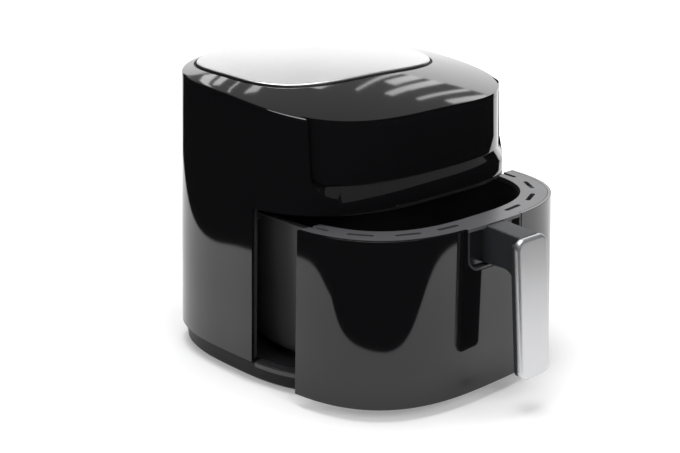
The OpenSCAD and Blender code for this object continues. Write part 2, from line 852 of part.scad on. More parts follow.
// Rings of one skin of the basket, from its rounded floor up to its rim
function basket_rings(off, low) = [basket_ring(low, basket_draft + 14 + off),
    basket_ring(low + 1.5, basket_draft + 8 + off), basket_ring(low + 5, basket_draft + 3.5 + off),
    basket_ring(low + 13, basket_in(low + 13) + off), basket_ring(basket_top, off)];

function reversed(list) = [for (i = [len(list) - 1:-1:0]) list[i]];

// Drawn from one sheet: up the outside, out round the flange and down the inside
module basket() {
    lip = -sheet - flange;
    place_drawer() color("#2b2b2d") skin(concat(basket_rings(-sheet, basket_low),
        [basket_ring(basket_top, lip), basket_ring(basket_top + sheet, lip),
            basket_ring(basket_top + sheet, 0)],
        reversed(basket_rings(0, basket_low + sheet))));
}

module drawer_front() {
    place_drawer() color("#0b0b0d") difference() {
        intersection() {
            tube_wall(0, wall, front_low, front_top);
            front_half(1);
        }
        handle_seat_form(0.2, 30);
    }
}

// The handle's seat: a round-cornered plate let into the top of the drawer front
module handle_seat_form(grow, depth) {
    r = 14;
    w = seat_w / 2 + grow;
    top = front_top + 20;
    low = seat_h - grow;
    translate([0, -body_d / 2 - 10, 0]) rotate([-90, 0, 0]) linear_extrude(depth)
        union() {
            translate([-w, -top]) square([2 * w, top - low - r]);
            translate([-w + r, -low - r - eps]) square([2 * (w - r), r]);
            for (s = [-1, 1]) translate([s * (w - r), -low - r]) circle(r = r);
        }
}

module handle_seat() {
    place_drawer() color("#0f0f11") difference() {
        intersection() {
            tube_wall(wall + 2, 3, seat_h - 5, front_top - rim_skin - fit_gap);
            handle_seat_form(6, 30);
        }
        seat_bolts(1.7);
    }
}

module seat_bolts(r) {
    for (z = [seat_h + 14, seat_h + 32]) translate([0, -body_d / 2 - 6, z]) rotate([-90, 0, 0])
        cylinder(h = 46, r = r);
}

rim_skin = 1.5;                         // left of the rim over the seat
slot_l = 22;
slot_w = 4;
slot_in = 16;

// Places an upright slot on the rim, along its curve
module rim_slot(a, z, h) {
    p = wall_xy(a - 1, basket_top, slot_in);
    q = wall_xy(a + 1, basket_top, slot_in);
    m = (p + q) / 2;
    translate([m.x, m.y, z]) rotate(atan2(q.y - p.y, q.x - p.x)) linear_extrude(h) union() {
        square([slot_l - slot_w, slot_w], center = true);
        for (s = [-1, 1]) translate([s * (slot_l - slot_w) / 2, 0]) circle(d = slot_w);
    }
}

// Flat moulding that closes the gap between basket and drawer front
module rim_frame() {
    low = basket_top + sheet;
    place_drawer() color("#3a3b3d") difference() {
        intersection() {
            difference() {
                slab(wall + fit_gap, low, front_top);
                skin([basket_ring(low - 1, 0), basket_ring(front_top + 1, 0)]);
            }
            front_half(1.4);
        }
        for (s = [-1, 1], k = [0:3]) rim_slot(-90 + s * (20 + 17 * k), low - 1, rim_h + 2);
        handle_plate_space();
    }
}

module handle_plate_space() {
    translate([-seat_w / 2 - 7, -body_d / 2 - 1, basket_top])
        cube([seat_w + 14, wall + 12, rim_h - rim_skin]);
}

neck_y0 = -body_d / 2 + wall + 2.1;

module neck_profile() {
    // Side view of neck and core back: Y outwards, Z up
    polygon([[neck_y0 + 2.6, neck_top - 1], [neck_y0 + 2.6, neck_top - neck_h],
        [grip_back_y + 8, neck_top - neck_h], [grip_back_y, neck_top - neck_h - 9],
        [grip_back_y - core_t, neck_top - neck_h - 9], [grip_back_y - core_t, neck_top - 2],
        [grip_back_y - core_t + 4, neck_top]]);
}

module handle_neck() {
    place_drawer() color("#2e3033") difference() {
        rotate([90, 0, 90]) translate([0, 0, -neck_w / 2]) linear_extrude(neck_w) neck_profile();
        slab(wall + 2, seat_h - 10, front_top + 5);
        seat_bolts(1.65);
    }
}

function kick(z) = grip_kick * (grip_top - z) / grip_h;

// A rounded bar that leans outwards, used for the grip's core and cover
module grip_bar(w, y0, y1, low, top, r) {
    hull() for (z = [low, top], s = [-1, 1], y = [y0, y1])
        translate([s * (w / 2 - r), y - kick(z), z]) sphere(r = r, $fn = 24);
}

module handle_core() {
    w = grip_w - 5;
    r = 2.5;
    place_drawer() color("#151517") difference() {
        grip_bar(w, grip_back_y - r, grip_back_y - core_t, grip_top - grip_h + 4, grip_top - 5, r);
        translate([-neck_w / 2 - 0.1, grip_back_y - core_t - 4, neck_top - neck_h - 9.1])
            cube([neck_w + 0.2, core_t + 20, neck_h + 20]);
        grip_cover_form(0.1);
    }
}

module grip_cover_form(grow) {
    r = cover_t / 2;
    grip_bar(grip_w + 2 * grow, grip_back_y - core_t - r, grip_back_y - grip_t + r - grow,
        grip_top - grip_h + r - grow, grip_top - r + grow, r);
}

module handle_grip() {
    place_drawer() color("silver") difference() {
        grip_cover_form(0);
        translate([-neck_w / 2 - 0.1, grip_back_y - core_t - 0.1, neck_top - neck_h - 9.1])
            cube([neck_w + 0.2, core_t + 20, neck_h + 20]);
    }
}

// Steel plate behind the seat that the handle's screws pull on
module handle_plate() {
    place_drawer() color("#9ca3af") difference() {
        intersection() {
            tube_wall(wall + 5.2, 1.5, seat_h + 2, basket_top - 1);
            translate([-seat_w / 2 + 4, -body_d, 0]) cube([seat_w - 8, body_d, 500]);
        }
        seat_bolts(1.7);
    }
}

module handle_screws() {
    place_drawer() color("silver") for (z = [seat_h + 14, seat_h + 32]) {
        head_y = -body_d / 2 + lean * (z - skirt_z) + wall + 6.8;
        translate([0, head_y - 16, z]) rotate([-90, 0, 0]) cylinder(h = 16.5, r = 1.6);
        translate([0, head_y, z]) rotate([-90, 0, 0]) cylinder(h = 2, r = 3.2);
    }
}

// Tab on the back of the flange that works the drawer switch
module switch_tab() {
    place_drawer() color("#1c1c1e") translate([switch_x - tab_w / 2, tab_y, 0])
        rotate([90, 0, 90]) linear_extrude(tab_w)
            polygon([[-2, basket_top + sheet], [2, basket_top + sheet], [2, tab_top - 2],
                [1, tab_top], [-1, tab_top], [-2, tab_top - 2]]);
}

// ---------- tray ----------

module crisper_tray() {
    pitch = tray_hole + 6;
    n = floor((min(basket_w, basket_d) / 2 - tray_in - 14) / pitch);
    reach = min(basket_w, basket_d) / 2 - tray_in - basket_draft - 10;
    place_drawer() color("#333335") difference() {
        union() {
            skin([basket_ring(tray_z, tray_in), basket_ring(tray_z + tray_t, tray_in)]);
            difference() {
                skin([basket_ring(tray_z, tray_in), basket_ring(tray_z + 8, tray_in - 1)]);
                skin([basket_ring(tray_z - 1, tray_in + tray_t), basket_ring(tray_z + 9, tray_in + tray_t - 1)]);
            }
        }
        for (i = [-n:n], j = [-n:n])
            if (norm([i, j]) * pitch < reach && (i + j) % 2 == 0)
                translate([i * pitch, j * pitch + basket_y, tray_z - 1])
                    cylinder(h = tray_t + 2, d = tray_hole, $fn = 24);
    }
}

// Soft blocks under the tray's rim that hold it off the basket's wall
module tray_bumpers() {
    half_w = basket_w / 2 - tray_in;
    half_d = basket_d / 2 - tray_in;
    out = 1.3;
    place_drawer() color("#7a1f1f") for (a = [45:90:359]) {
        p = oval(a, half_w, half_d, plan_n);
        translate([p.x, p.y + basket_y, tray_z]) rotate(atan2(half_w * sin(a), half_d * cos(a)))
            difference() {
                translate([-5, -6, -3]) cube([5 + out, 12, 4.2]);
                translate([-6, -7, -bear_gap]) cube([6.35, 14, 9]);
            }
    }
}

side_shell();
front_cover();
top_cover();
top_disc();
disc_ring();
control_lens();
display_module();
touch_board();
base_pan();
bay_floor();
feet();
base_screws();
bay_liner();
slide_rails();
chamber_ceiling();
heater_dome();
heat_blanket();
heating_element();
element_bushings();
element_guard();
temperature_probe();
thermal_fuse();
motor_bracket();
lower_bridge();
upper_bridge();
motor_bearings();
stator_core();
motor_coil();
motor_screws();
power_board();
board_parts();
rear_vent();
cord_gland();
switch_body();
switch_plunger();
switch_spring();
motor_shaft();
rotor_core();
hot_fan();
fan_nut();
cooling_fan();
basket();
drawer_front();
rim_frame();
handle_seat();
handle_neck();
handle_core();
handle_grip();
handle_plate();
handle_screws();
switch_tab();
crisper_tray();
tray_bumpers();
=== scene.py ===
# A drum air fryer with its drawer part open: gloss black housing, crowned lid with a silver disc,
# a recessed control panel, a non-stick basket behind a curved front, and a silver grip.
# All sizes are in metres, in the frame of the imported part: front towards -Y, table at Z = 0.

import math

import bmesh
import bpy
from mathutils import Matrix, Vector


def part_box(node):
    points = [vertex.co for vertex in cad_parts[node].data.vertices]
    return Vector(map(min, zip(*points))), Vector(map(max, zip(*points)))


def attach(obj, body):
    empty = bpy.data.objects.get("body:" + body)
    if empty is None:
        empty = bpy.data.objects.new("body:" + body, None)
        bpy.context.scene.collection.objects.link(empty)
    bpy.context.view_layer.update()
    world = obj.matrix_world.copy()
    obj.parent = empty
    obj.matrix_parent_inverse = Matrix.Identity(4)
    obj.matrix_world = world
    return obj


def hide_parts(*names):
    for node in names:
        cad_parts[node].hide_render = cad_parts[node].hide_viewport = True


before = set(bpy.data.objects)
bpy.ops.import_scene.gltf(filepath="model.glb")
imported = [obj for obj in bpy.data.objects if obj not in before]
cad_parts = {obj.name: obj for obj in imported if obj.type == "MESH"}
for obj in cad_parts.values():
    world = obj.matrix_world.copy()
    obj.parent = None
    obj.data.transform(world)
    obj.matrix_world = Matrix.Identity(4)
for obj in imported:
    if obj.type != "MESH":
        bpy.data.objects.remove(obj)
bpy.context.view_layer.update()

MM = 0.001


# ---------- Studio: camera ----------
# The machine is seen from its front left, from a little above, through a fairly long lens.
# Places are taken from the middle of the housing's base.

def box_middle(node):
    """The middle of a node's box."""
    low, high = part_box(node)
    return (low + high) / 2


HOUSING_Y = box_middle("base_pan").y

camera_data = bpy.data.cameras.new("camera")
camera_data.sensor_width = 36
camera_data.lens = 68.0
LOOK_DOWN = 17.864
LOOK_RIGHT = 43.124
camera = bpy.data.objects.new("camera", camera_data)
camera.location = (-0.8389, HOUSING_Y - 0.8917, 0.5086)
camera.rotation_euler = (math.radians(90 - LOOK_DOWN), 0, math.radians(-LOOK_RIGHT))
bpy.context.scene.collection.objects.link(camera)
bpy.context.scene.camera = camera
bpy.context.scene.view_settings.view_transform = "Standard"


# ---------- Studio: surroundings, floor and lights ----------
# A white room to the eye, but dark beyond the paper sweep in what the gloss reflects. The paper
# ends half a metre to the machine's left, and runs on behind it to a bright wall. Dimmer cards
# stand in front and high up, and narrow ones lean over the wall, for the lid to mirror.

class Value:
    """A socket of a shader; arithmetic on it adds Math nodes."""

    def __init__(self, finish, socket):
        self.finish = finish
        self.socket = socket

    def combine(self, operation, first, second):
        return self.finish.node("ShaderNodeMath", {"operation": operation}, first, second)

    def __add__(self, other):
        return self.combine("ADD", self, other)

    __radd__ = __add__

    def __mul__(self, other):
        return self.combine("MULTIPLY", self, other)

    __rmul__ = __mul__


class Finish:
    """The shader nodes of one material or of the surroundings."""

    def __init__(self, owner):
        owner.use_nodes = True
        self.tree = owner.node_tree
        self.tree.nodes.clear()

    def node(self, kind, settings=None, *inputs, output=0, **named):
        """Adds a node, sets it up, then gives its sockets their values or links."""
        made = self.tree.nodes.new(kind)
        for key, setting in (settings or {}).items():
            if key == "stops":
                self.set_stops(made.color_ramp, setting)
            else:
                setattr(made, key, setting)
        pairs = list(enumerate(inputs)) + [(k.replace("_", " "), v) for k, v in named.items()]
        for key, value in pairs:
            if isinstance(value, Value):
                self.tree.links.new(value.socket, made.inputs[key])
            elif value is not None:
                made.inputs[key].default_value = value
        return Value(self, made.outputs[output]) if made.outputs else None

    def set_stops(self, ramp, stops):
        while len(ramp.elements) < len(stops):
            ramp.elements.new(0.5)
        for element, (place, shade) in zip(ramp.elements, stops):
            element.position = place
            element.color = (shade, shade, shade, 1)


def grey(shade):
    return (shade, shade, shade, 1)


world = bpy.data.worlds.new("surroundings")
bpy.context.scene.world = world
room = Finish(world)
to_eye = room.node("ShaderNodeLightPath")
seen = room.node("ShaderNodeBackground", None, grey(1.0), 1.0)
dark = room.node("ShaderNodeBackground", None, grey(0.011), 1.0)
room.node("ShaderNodeOutputWorld", None, room.node("ShaderNodeMixShader", None, to_eye, dark, seen))

PAPER_SIDE = 0.54
PAPER_FRONT = 0.70
PAPER_BACK = 1.9
PAPER_NEAR = 0.3
PAPER_FAR = 1.0
PAPER_NEAR_GLOW = 0.26
PAPER_FAR_GLOW = 0.95


def stage_piece(name, bm, shader):
    """A piece of the studio, which isn't part of the machine."""
    mesh = bpy.data.meshes.new(name)
    bm.to_mesh(mesh)
    bm.free()
    mesh.materials.append(shader)
    obj = bpy.data.objects.new(name, mesh)
    bpy.context.scene.collection.objects.link(obj)
    return obj


def paper_shader(name):
    """White paper that is a little overlit, more so away from the machine."""
    material = bpy.data.materials.new(name)
    paper = Finish(material)
    place = paper.node("ShaderNodeTexCoord", output=3)
    centred = paper.node("ShaderNodeVectorMath", {"operation": "SUBTRACT"}, place, (0, HOUSING_Y, 0))
    away = paper.node("ShaderNodeVectorMath", {"operation": "LENGTH"}, centred, output=1)
    glow = paper.node("ShaderNodeMapRange", {"interpolation_type": "SMOOTHSTEP"}, away,
                      PAPER_NEAR, PAPER_FAR, PAPER_NEAR_GLOW, PAPER_FAR_GLOW)
    grain = paper.node("ShaderNodeTexNoise", None, Vector=place, Scale=900.0)
    colour = paper.node("ShaderNodeValToRGB", {"stops": [(0.3, 0.80), (0.7, 0.84)]}, grain)
    skin = paper.node("ShaderNodeBsdfPrincipled", None, Base_Color=colour, Roughness=0.9,
                      Emission_Color=glow, Emission_Strength=1.0)
    paper.node("ShaderNodeOutputMaterial", None, skin)
    return material


def paper_edge(turn):
    """How far the paper reaches: short on the left, drawn in before the camera, long behind."""
    bearing = math.degrees(turn) % 360
    if bearing < 80:
        return PAPER_BACK
    if bearing > 300:
        return PAPER_FRONT + 0.006 * (bearing - 300)
    side = PAPER_SIDE + 0.00008 * (bearing - 145) ** 2
    notch = 0.31 * math.exp(-((bearing - 225) / 44) ** 4)
    return min(side, PAPER_FRONT) - notch if bearing > 145 else side


sweep = bmesh.new()
rim = bmesh.ops.create_circle(sweep, cap_ends=True, segments=180, radius=1)["verts"]
for vert in rim:
    turn = math.atan2(vert.co.y, vert.co.x)
    vert.co = Vector((math.cos(turn), math.sin(turn), 0)) * paper_edge(turn)
    vert.co.y += HOUSING_Y
stage_piece("paper_sweep", sweep, paper_shader("paper"))

ground = bmesh.new()
bmesh.ops.create_grid(ground, x_segments=1, y_segments=1, size=6)
bmesh.ops.translate(ground, verts=ground.verts, vec=(0, 0, -0.0005))
floor = stage_piece("floor", ground, paper_shader("floor"))
floor.visible_glossy = False


def soft_box(name, place, aim, width, height, power, seen_in_gloss=True):
    """A square soft light that faces a point."""
    lamp = bpy.data.lights.new(name, "AREA")
    lamp.shape = "RECTANGLE"
    lamp.size = width
    lamp.size_y = height
    lamp.energy = power
    obj = bpy.data.objects.new(name, lamp)
    obj.location = place
    obj.rotation_euler = (Vector(aim) - Vector(place)).to_track_quat("-Z", "Y").to_euler()
    obj.visible_camera = False
    obj.visible_glossy = seen_in_gloss
    bpy.context.scene.collection.objects.link(obj)


soft_box("top_light", (0.0, 0.15, 1.9), (0, HOUSING_Y, 0.1), 1.4, 1.4, 40)
soft_box("front_light", (-0.5, -1.7, 1.25), (0, 0, 0.15), 1.2, 0.9, 17, seen_in_gloss=False)
soft_box("left_light", (-1.9, 0.1, 1.2), (0, HOUSING_Y, 0.15), 0.9, 1.0, 10, seen_in_gloss=False)


def glowing(name, strength):
    """White card that is lit evenly."""
    material = bpy.data.materials.new(name)
    glow = Finish(material)
    light = glow.node("ShaderNodeEmission", None, grey(1.0), strength)
    glow.node("ShaderNodeOutputMaterial", None, light)
    return material


def standing_card(name, turn, distance, width, low, high, tilt, shader):
    """A flat card that stands round the machine and shows only in its gloss."""
    card = bmesh.new()
    bmesh.ops.create_grid(card, x_segments=1, y_segments=1, size=0.5)
    height = high - low
    bmesh.ops.transform(card, verts=card.verts, matrix=(
        Matrix.Translation((0, HOUSING_Y, 0)) @ Matrix.Rotation(math.radians(turn), 4, "Z")
        @ Matrix.Translation((distance, 0, (low + high) / 2))
        @ Matrix.Rotation(math.radians(tilt), 4, "X") @ Matrix.Rotation(math.radians(90), 4, "Y")
        @ Matrix.Diagonal((height, width, 1, 1))))
    obj = stage_piece(name, card, shader)
    obj.visible_camera = False
    obj.visible_shadow = False
    obj.visible_diffuse = False


standing_card("bright_wall", 42, 2.4, 3.8, -0.1, 1.24, 0, glowing("wall_glow", 1.75))
front_glow = glowing("front_glow", 0.32)
standing_card("front_card", -70, 1.7, 4.4, 0.55, 2.3, 0, front_glow)
standing_card("high_card", -125, 1.5, 3.0, 1.1, 3.2, 0, front_glow)
standing_card("lid_card", 62, 2.45, 4.6, 1.2, 3.4, 0, glowing("lid_glow", 0.3))
streak_glow = glowing("streak_glow", 2.4)
STREAKS = 19
for index in range(STREAKS):
    bearing = 44 + 2.1 * (index - STREAKS // 2) + 0.8 * math.sin(5 * index)
    width = 0.012 + 0.05 * math.sin(2.3 * index) ** 2
    top = 1.62 + 0.16 * math.sin(3 * index)
    standing_card(f"streak_{index}", bearing, 2.35, width, 1.2, top, -16, streak_glow)


# ---------- Side shell ----------
# The one-piece moulded wall round the sides and back, in gloss black ABS. It is a squared oval in
# plan that leans in as it rises, open at the front, with a window for the vent and a hole for the
# cord's gland. Screws from below hold it to the base.

shell_low, shell_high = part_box("side_shell")
HALF_W = shell_high.x
HALF_D = shell_high.y - HOUSING_Y
SKIRT = shell_low.z
SEAM_Y = shell_low.y
SQUARENESS = 2.9
LEAN = 0.03
WALL = 3 * MM
CROWN = 281 * MM
LID_EDGE = 4 * MM
LID_RISE = 0.093
FALL_SIDE = 12.6 * MM
FALL_FRONT = 13.5 * MM
SEGMENTS = 224
SHARP = math.radians(32)
housing_middle = Vector((0, HOUSING_Y, 0))


def outline(turn, half_w, half_d, squareness):
    """A point of a squared oval, in one direction from its middle."""
    across = abs(math.cos(turn) / half_w) ** squareness
    along = abs(math.sin(turn) / half_d) ** squareness
    reach = (across + along) ** (-1 / squareness)
    return Vector((reach * math.cos(turn), reach * math.sin(turn), 0))


def wall_point(turn, height, inset=0.0):
    """A point of the housing's leaning wall, moved in from its face."""
    lean = LEAN * (height - SKIRT) + inset
    point = outline(turn, HALF_W - lean, HALF_D - lean, SQUARENESS) + housing_middle
    point.z = height
    return point


def lid_height(x, y):
    """The height of the lid's crowned surface."""
    back = y - HOUSING_Y
    return (CROWN + LID_RISE * back - FALL_SIDE * (x / HALF_W) ** 2
            - FALL_FRONT * (back / HALF_D) ** 2)


def lid_point(turn, inset=0.0, drop=0.0, share=1.0):
    """A point on the lid, at a share of the way from its middle to the wall."""
    rough = wall_point(turn, CROWN - 10 * MM, inset)
    edge = wall_point(turn, lid_height(rough.x, rough.y), inset)
    point = housing_middle + share * (edge - housing_middle)
    point.z = lid_height(point.x, point.y) - drop
    return point


def loft(middle, stations, closed="ends"):
    """A skin of rings: each is extruded from the last, and its points move to their own places.

    It is closed with flat ends, or joined from its last ring back to its first.
    """
    bm = bmesh.new()
    ring = bmesh.ops.create_circle(bm, segments=SEGMENTS, radius=1)["verts"]
    bmesh.ops.translate(bm, verts=ring, vec=middle)
    edges = list(bm.edges)
    first = edges
    for index, station in enumerate(stations):
        if index:
            grown = bmesh.ops.extrude_edge_only(bm, edges=edges)["geom"]
            ring = [part for part in grown if isinstance(part, bmesh.types.BMVert)]
            edges = [part for part in grown
                     if isinstance(part, bmesh.types.BMEdge) and part.is_boundary]
        for vert in ring:
            vert.co = station(math.atan2(vert.co.y - middle.y, vert.co.x - middle.x))
    if closed == "ends":
        bmesh.ops.edgeloop_fill(bm, edges=first)
        bmesh.ops.edgeloop_fill(bm, edges=edges)
    elif closed == "loop":
        bmesh.ops.bridge_loops(bm, edges=first + edges)
    bmesh.ops.recalc_face_normals(bm, faces=bm.faces)
    return bm


def keep_side(bm, point, normal):
    """Saws a solid with a plane, throws away the side that the normal points to, and closes it."""
    parts = list(bm.verts) + list(bm.edges) + list(bm.faces)
    sawn = bmesh.ops.bisect_plane(bm, geom=parts, dist=1e-6, plane_co=point, plane_no=normal,
                                  clear_outer=True)["geom_cut"]
    edges = [part for part in sawn if isinstance(part, bmesh.types.BMEdge)]
    bmesh.ops.edgeloop_fill(bm, edges=edges)


def carve(bm, tool, operation="DIFFERENCE"):
    """One closed solid less another, or the room that both share."""
    blanks = []
    for solid in (bm, tool):
        mesh = bpy.data.meshes.new("blank")
        solid.to_mesh(mesh)
        solid.free()
        blanks.append(bpy.data.objects.new("blank", mesh))
        bpy.context.scene.collection.objects.link(blanks[-1])
    cut = blanks[0].modifiers.new("cut", "BOOLEAN")
    cut.operation = operation
    cut.solver = "EXACT"
    cut.object = blanks[1]
    bpy.context.view_layer.update()
    result = bmesh.new()
    result.from_object(blanks[0], bpy.context.evaluated_depsgraph_get())
    for blank in blanks:
        mesh = blank.data
        bpy.data.objects.remove(blank)
        bpy.data.meshes.remove(mesh)
    bmesh.ops.remove_doubles(result, verts=result.verts, dist=2e-6)
    bmesh.ops.dissolve_degenerate(result, edges=result.edges, dist=2e-6)
    return result


def block(low, high):
    """A plain box between two corners, used as a tool."""
    bm = bmesh.new()
    bmesh.ops.create_cube(bm, size=1)
    low, high = Vector(low), Vector(high)
    bmesh.ops.scale(bm, verts=bm.verts, vec=high - low)
    bmesh.ops.translate(bm, verts=bm.verts, vec=(low + high) / 2)
    return bm


def rod(start, end, radius):
    """A round bar from one point to another."""
    bm = bmesh.new()
    start, end = Vector(start), Vector(end)
    axis = end - start
    bmesh.ops.create_cone(bm, cap_ends=True, segments=48, radius1=radius, radius2=radius,
                          depth=axis.length)
    bmesh.ops.transform(bm, verts=bm.verts, matrix=(
        Matrix.Translation((start + end) / 2) @ axis.to_track_quat("Z", "Y").to_matrix().to_4x4()))
    return bm


def ease_edges(bm, width, steps=3):
    """Rounds the sharp edges, as a mould does."""
    edges = [edge for edge in bm.edges
             if len(edge.link_faces) == 2 and edge.calc_face_angle(0) > SHARP]
    bmesh.ops.bevel(bm, geom=edges, offset=width, offset_type="OFFSET", segments=steps,
                    profile=0.5, affect="EDGES", clamp_overlap=True, material=-1)
    bmesh.ops.remove_doubles(bm, verts=bm.verts, dist=2e-6)


def piece(name, bm, material, body, slot, *stands_for):
    """Makes a finished mesh an object that moves with its body."""
    for face in bm.faces:
        face.smooth = True
    for edge in bm.edges:
        edge.smooth = len(edge.link_faces) == 2 and edge.calc_face_angle(0) < SHARP
    mesh = bpy.data.meshes.new(name)
    bm.to_mesh(mesh)
    bm.free()
    mesh.materials.append(material)
    obj = bpy.data.objects.new(name, mesh)
    bpy.context.scene.collection.objects.link(obj)
    shading = obj.modifiers.new("even shading", "WEIGHTED_NORMAL")
    shading.keep_sharp = True
    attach(obj, body)
    if stands_for:
        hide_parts(*stands_for)


def moulding(name, shade, low_rough, high_rough, grain=1400.0, relief=0.02, waves=0.0,
             metallic=0.0, spread=0.15, gloss=0.5):
    """A moulded or painted skin: faint clouding, a fine grain, and slow waves in its surface."""
    material = bpy.data.materials.new(name)
    skin = Finish(material)
    place = skin.node("ShaderNodeTexCoord", output=3)
    cloud = skin.node("ShaderNodeTexNoise", None, Vector=place, Scale=24.0, Detail=4.0)
    fine = skin.node("ShaderNodeTexNoise", None, Vector=place, Scale=grain, Detail=2.0)
    tone = 0.5 * cloud + 0.5 * fine
    darker, paler = ([part * factor for part in shade] + [1]
                     for factor in (1 - spread, 1 + spread))
    colour = skin.node("ShaderNodeMix", {"data_type": "RGBA"}, tone, *[None] * 5, darker, paler,
                       output=2)
    rough = low_rough + (high_rough - low_rough) * tone
    normal = skin.node("ShaderNodeBump", None, Strength=relief, Distance=0.0004, Height=fine)
    if waves:
        slow = skin.node("ShaderNodeTexNoise", None, Vector=place, Scale=9.0, Detail=1.0)
        normal = skin.node("ShaderNodeBump", None, Strength=waves, Distance=0.01, Height=slow,
                           Normal=normal)
    shader = skin.node("ShaderNodeBsdfPrincipled", None, Base_Color=colour, Roughness=rough,
                       Metallic=metallic, Normal=normal, Specular_IOR_Level=gloss)
    skin.node("ShaderNodeOutputMaterial", None, shader)
    return material


gloss_black = moulding("gloss_black", (0.0035, 0.0035, 0.004), 0.035, 0.075, relief=0.004,
                       waves=0.012)

shell = loft(housing_middle, [
    lambda turn: wall_point(turn, SKIRT),
    lambda turn: wall_point(turn, SKIRT + 70 * MM),
    lambda turn: wall_point(turn, SKIRT + 150 * MM),
    lambda turn: wall_point(turn, SKIRT + 215 * MM),
    lambda turn: lid_point(turn, 0, LID_EDGE),
    lambda turn: lid_point(turn, WALL, LID_EDGE),
    lambda turn: wall_point(turn, SKIRT + 150 * MM, WALL),
    lambda turn: wall_point(turn, SKIRT, WALL)], closed="loop")
keep_side(shell, (0, SEAM_Y, 0), (0, -1, 0))
vent_low, vent_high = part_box("rear_vent")
VENT_GAP = 0.4 * MM
shell = carve(shell, block(
    (vent_low.x - VENT_GAP, HOUSING_Y + HALF_D / 2, vent_low.z - VENT_GAP),
    (vent_high.x + VENT_GAP, HOUSING_Y + 2 * HALF_D, vent_high.z + VENT_GAP)))
gland = box_middle("cord_gland")
GLAND_HOLE = 8.3 * MM
shell = carve(shell, rod((gland.x, HOUSING_Y + HALF_D / 2, gland.z),
                         (gland.x, HOUSING_Y + 2 * HALF_D, gland.z), GLAND_HOLE))
ease_edges(shell, 0.9 * MM)
piece("side_shell_skin", shell, gloss_black, "housing", "gloss_black", "side_shell")


# ---------- Front cover ----------
# The upper front of the housing, also gloss black. Its lower edge arches over the drawer, and a
# wide recess for the control panel is pressed into it, with a sloping ledge along its foot that
# sweeps up at both ends.

ARCH = 171 * MM
ARCH_RISE = 0.04
RECESS = 6 * MM
PANEL_HALF = 126 * MM
LEDGE_FOOT = 189 * MM
LEDGE_H = 11 * MM
CORNER_R = 17 * MM
INNER_R = 14 * MM
RECESS_BACK = HOUSING_Y - 20 * MM
SEAM_GAP = 0.3 * MM


def corner_rise(x, half, radius):
    """How much a rounded lower corner has risen, this far across the panel."""
    into = min(max(0.0, abs(x) - (half - radius)), radius)
    return radius - math.sqrt(radius ** 2 - into ** 2)


def ledge_point(turn, height, inset, half, radius):
    """A point of the ledge, which sweeps up near the panel's ends."""
    flat = wall_point(turn, height, inset)
    rise = corner_rise(flat.x, half, radius) if flat.y < HOUSING_Y else radius
    return wall_point(turn, height + rise, inset)


def recess_tool(wall_inset, grow):
    """The room of the recess, or with a growth, the room that its walls leave free."""
    run = 2 * MM
    foot = LEDGE_FOOT - grow
    standing = loft(housing_middle, [
        lambda turn: wall_point(turn, ARCH - 60 * MM, wall_inset - run),
        lambda turn: ledge_point(turn, foot - run * LEDGE_H / RECESS, wall_inset - run,
                                 PANEL_HALF + grow, CORNER_R),
        lambda turn: ledge_point(turn, foot + LEDGE_H * 0.94, wall_inset + RECESS * 0.94,
                                 PANEL_HALF + grow, INNER_R),
        lambda turn: ledge_point(turn, foot + LEDGE_H + 0.6 * MM, wall_inset + RECESS,
                                 PANEL_HALF + grow, INNER_R),
        lambda turn: wall_point(turn, CROWN + 60 * MM, wall_inset + RECESS)])
    room_low = (-PANEL_HALF - grow, HOUSING_Y - 2 * HALF_D, ARCH - 20 * MM)
    room_high = (PANEL_HALF + grow, RECESS_BACK, CROWN + 40 * MM)
    return carve(block(room_low, room_high), standing)


def above_arch(bm):
    """Keeps what is above the arched lower edge and in front of the seam."""
    keep_side(bm, (0, SEAM_Y - SEAM_GAP, 0), (0, 1, 0))
    keep_side(bm, (0, SEAM_Y, ARCH), (0, -ARCH_RISE, -1))


cover = loft(housing_middle, [
    lambda turn: wall_point(turn, ARCH - 6 * MM),
    lambda turn: wall_point(turn, ARCH + 40 * MM),
    lambda turn: wall_point(turn, ARCH + 75 * MM)]
    + [lambda turn, share=share: lid_point(turn, 0, LID_EDGE, share)
       for share in (1, 0.965, 0.8, 0.5, 0.1)])
hollow = loft(housing_middle, [
    lambda turn: wall_point(turn, ARCH - 20 * MM, WALL),
    lambda turn: wall_point(turn, CROWN + 40 * MM, WALL)])
hollow = carve(hollow, recess_tool(WALL, WALL))
cover = carve(cover, hollow)
cover = carve(cover, recess_tool(0, 0))
above_arch(cover)
ease_edges(cover, 0.9 * MM)
piece("front_cover_skin", cover, gloss_black, "housing", "gloss_black", "front_cover")


# ---------- Control lens ----------
# A clear-coated black acrylic panel that fills the recess. The touch keys and display light up
# behind it, so its face is plain.

LENS_T = 2 * MM
LENS_FIT = 0.5 * MM
LENS_BED = RECESS - 0.15 * MM
lens_black = moulding("lens_black", (0.0035, 0.0035, 0.004), 0.02, 0.045, relief=0.002, waves=0.006)


def lens_edge(inset):
    """The lens's lower edge, just above the ledge."""
    return lambda turn: ledge_point(turn, LEDGE_FOOT + LEDGE_H + LENS_FIT, inset,
                                    PANEL_HALF - LENS_FIT, INNER_R)


lens = loft(housing_middle, [
    lens_edge(RECESS - LENS_T),
    lambda turn: lid_point(turn, RECESS - LENS_T, LID_EDGE + SEAM_GAP),
    lambda turn: lid_point(turn, LENS_BED, LID_EDGE + SEAM_GAP),
    lens_edge(LENS_BED)], closed="loop")
keep_side(lens, (PANEL_HALF - LENS_FIT, 0, 0), (1, 0, 0))
keep_side(lens, (LENS_FIT - PANEL_HALF, 0, 0), (-1, 0, 0))
keep_side(lens, (0, RECESS_BACK, 0), (0, 1, 0))
ease_edges(lens, 0.5 * MM)
piece("control_lens_panel", lens, lens_black, "housing", "lens_black", "control_lens")


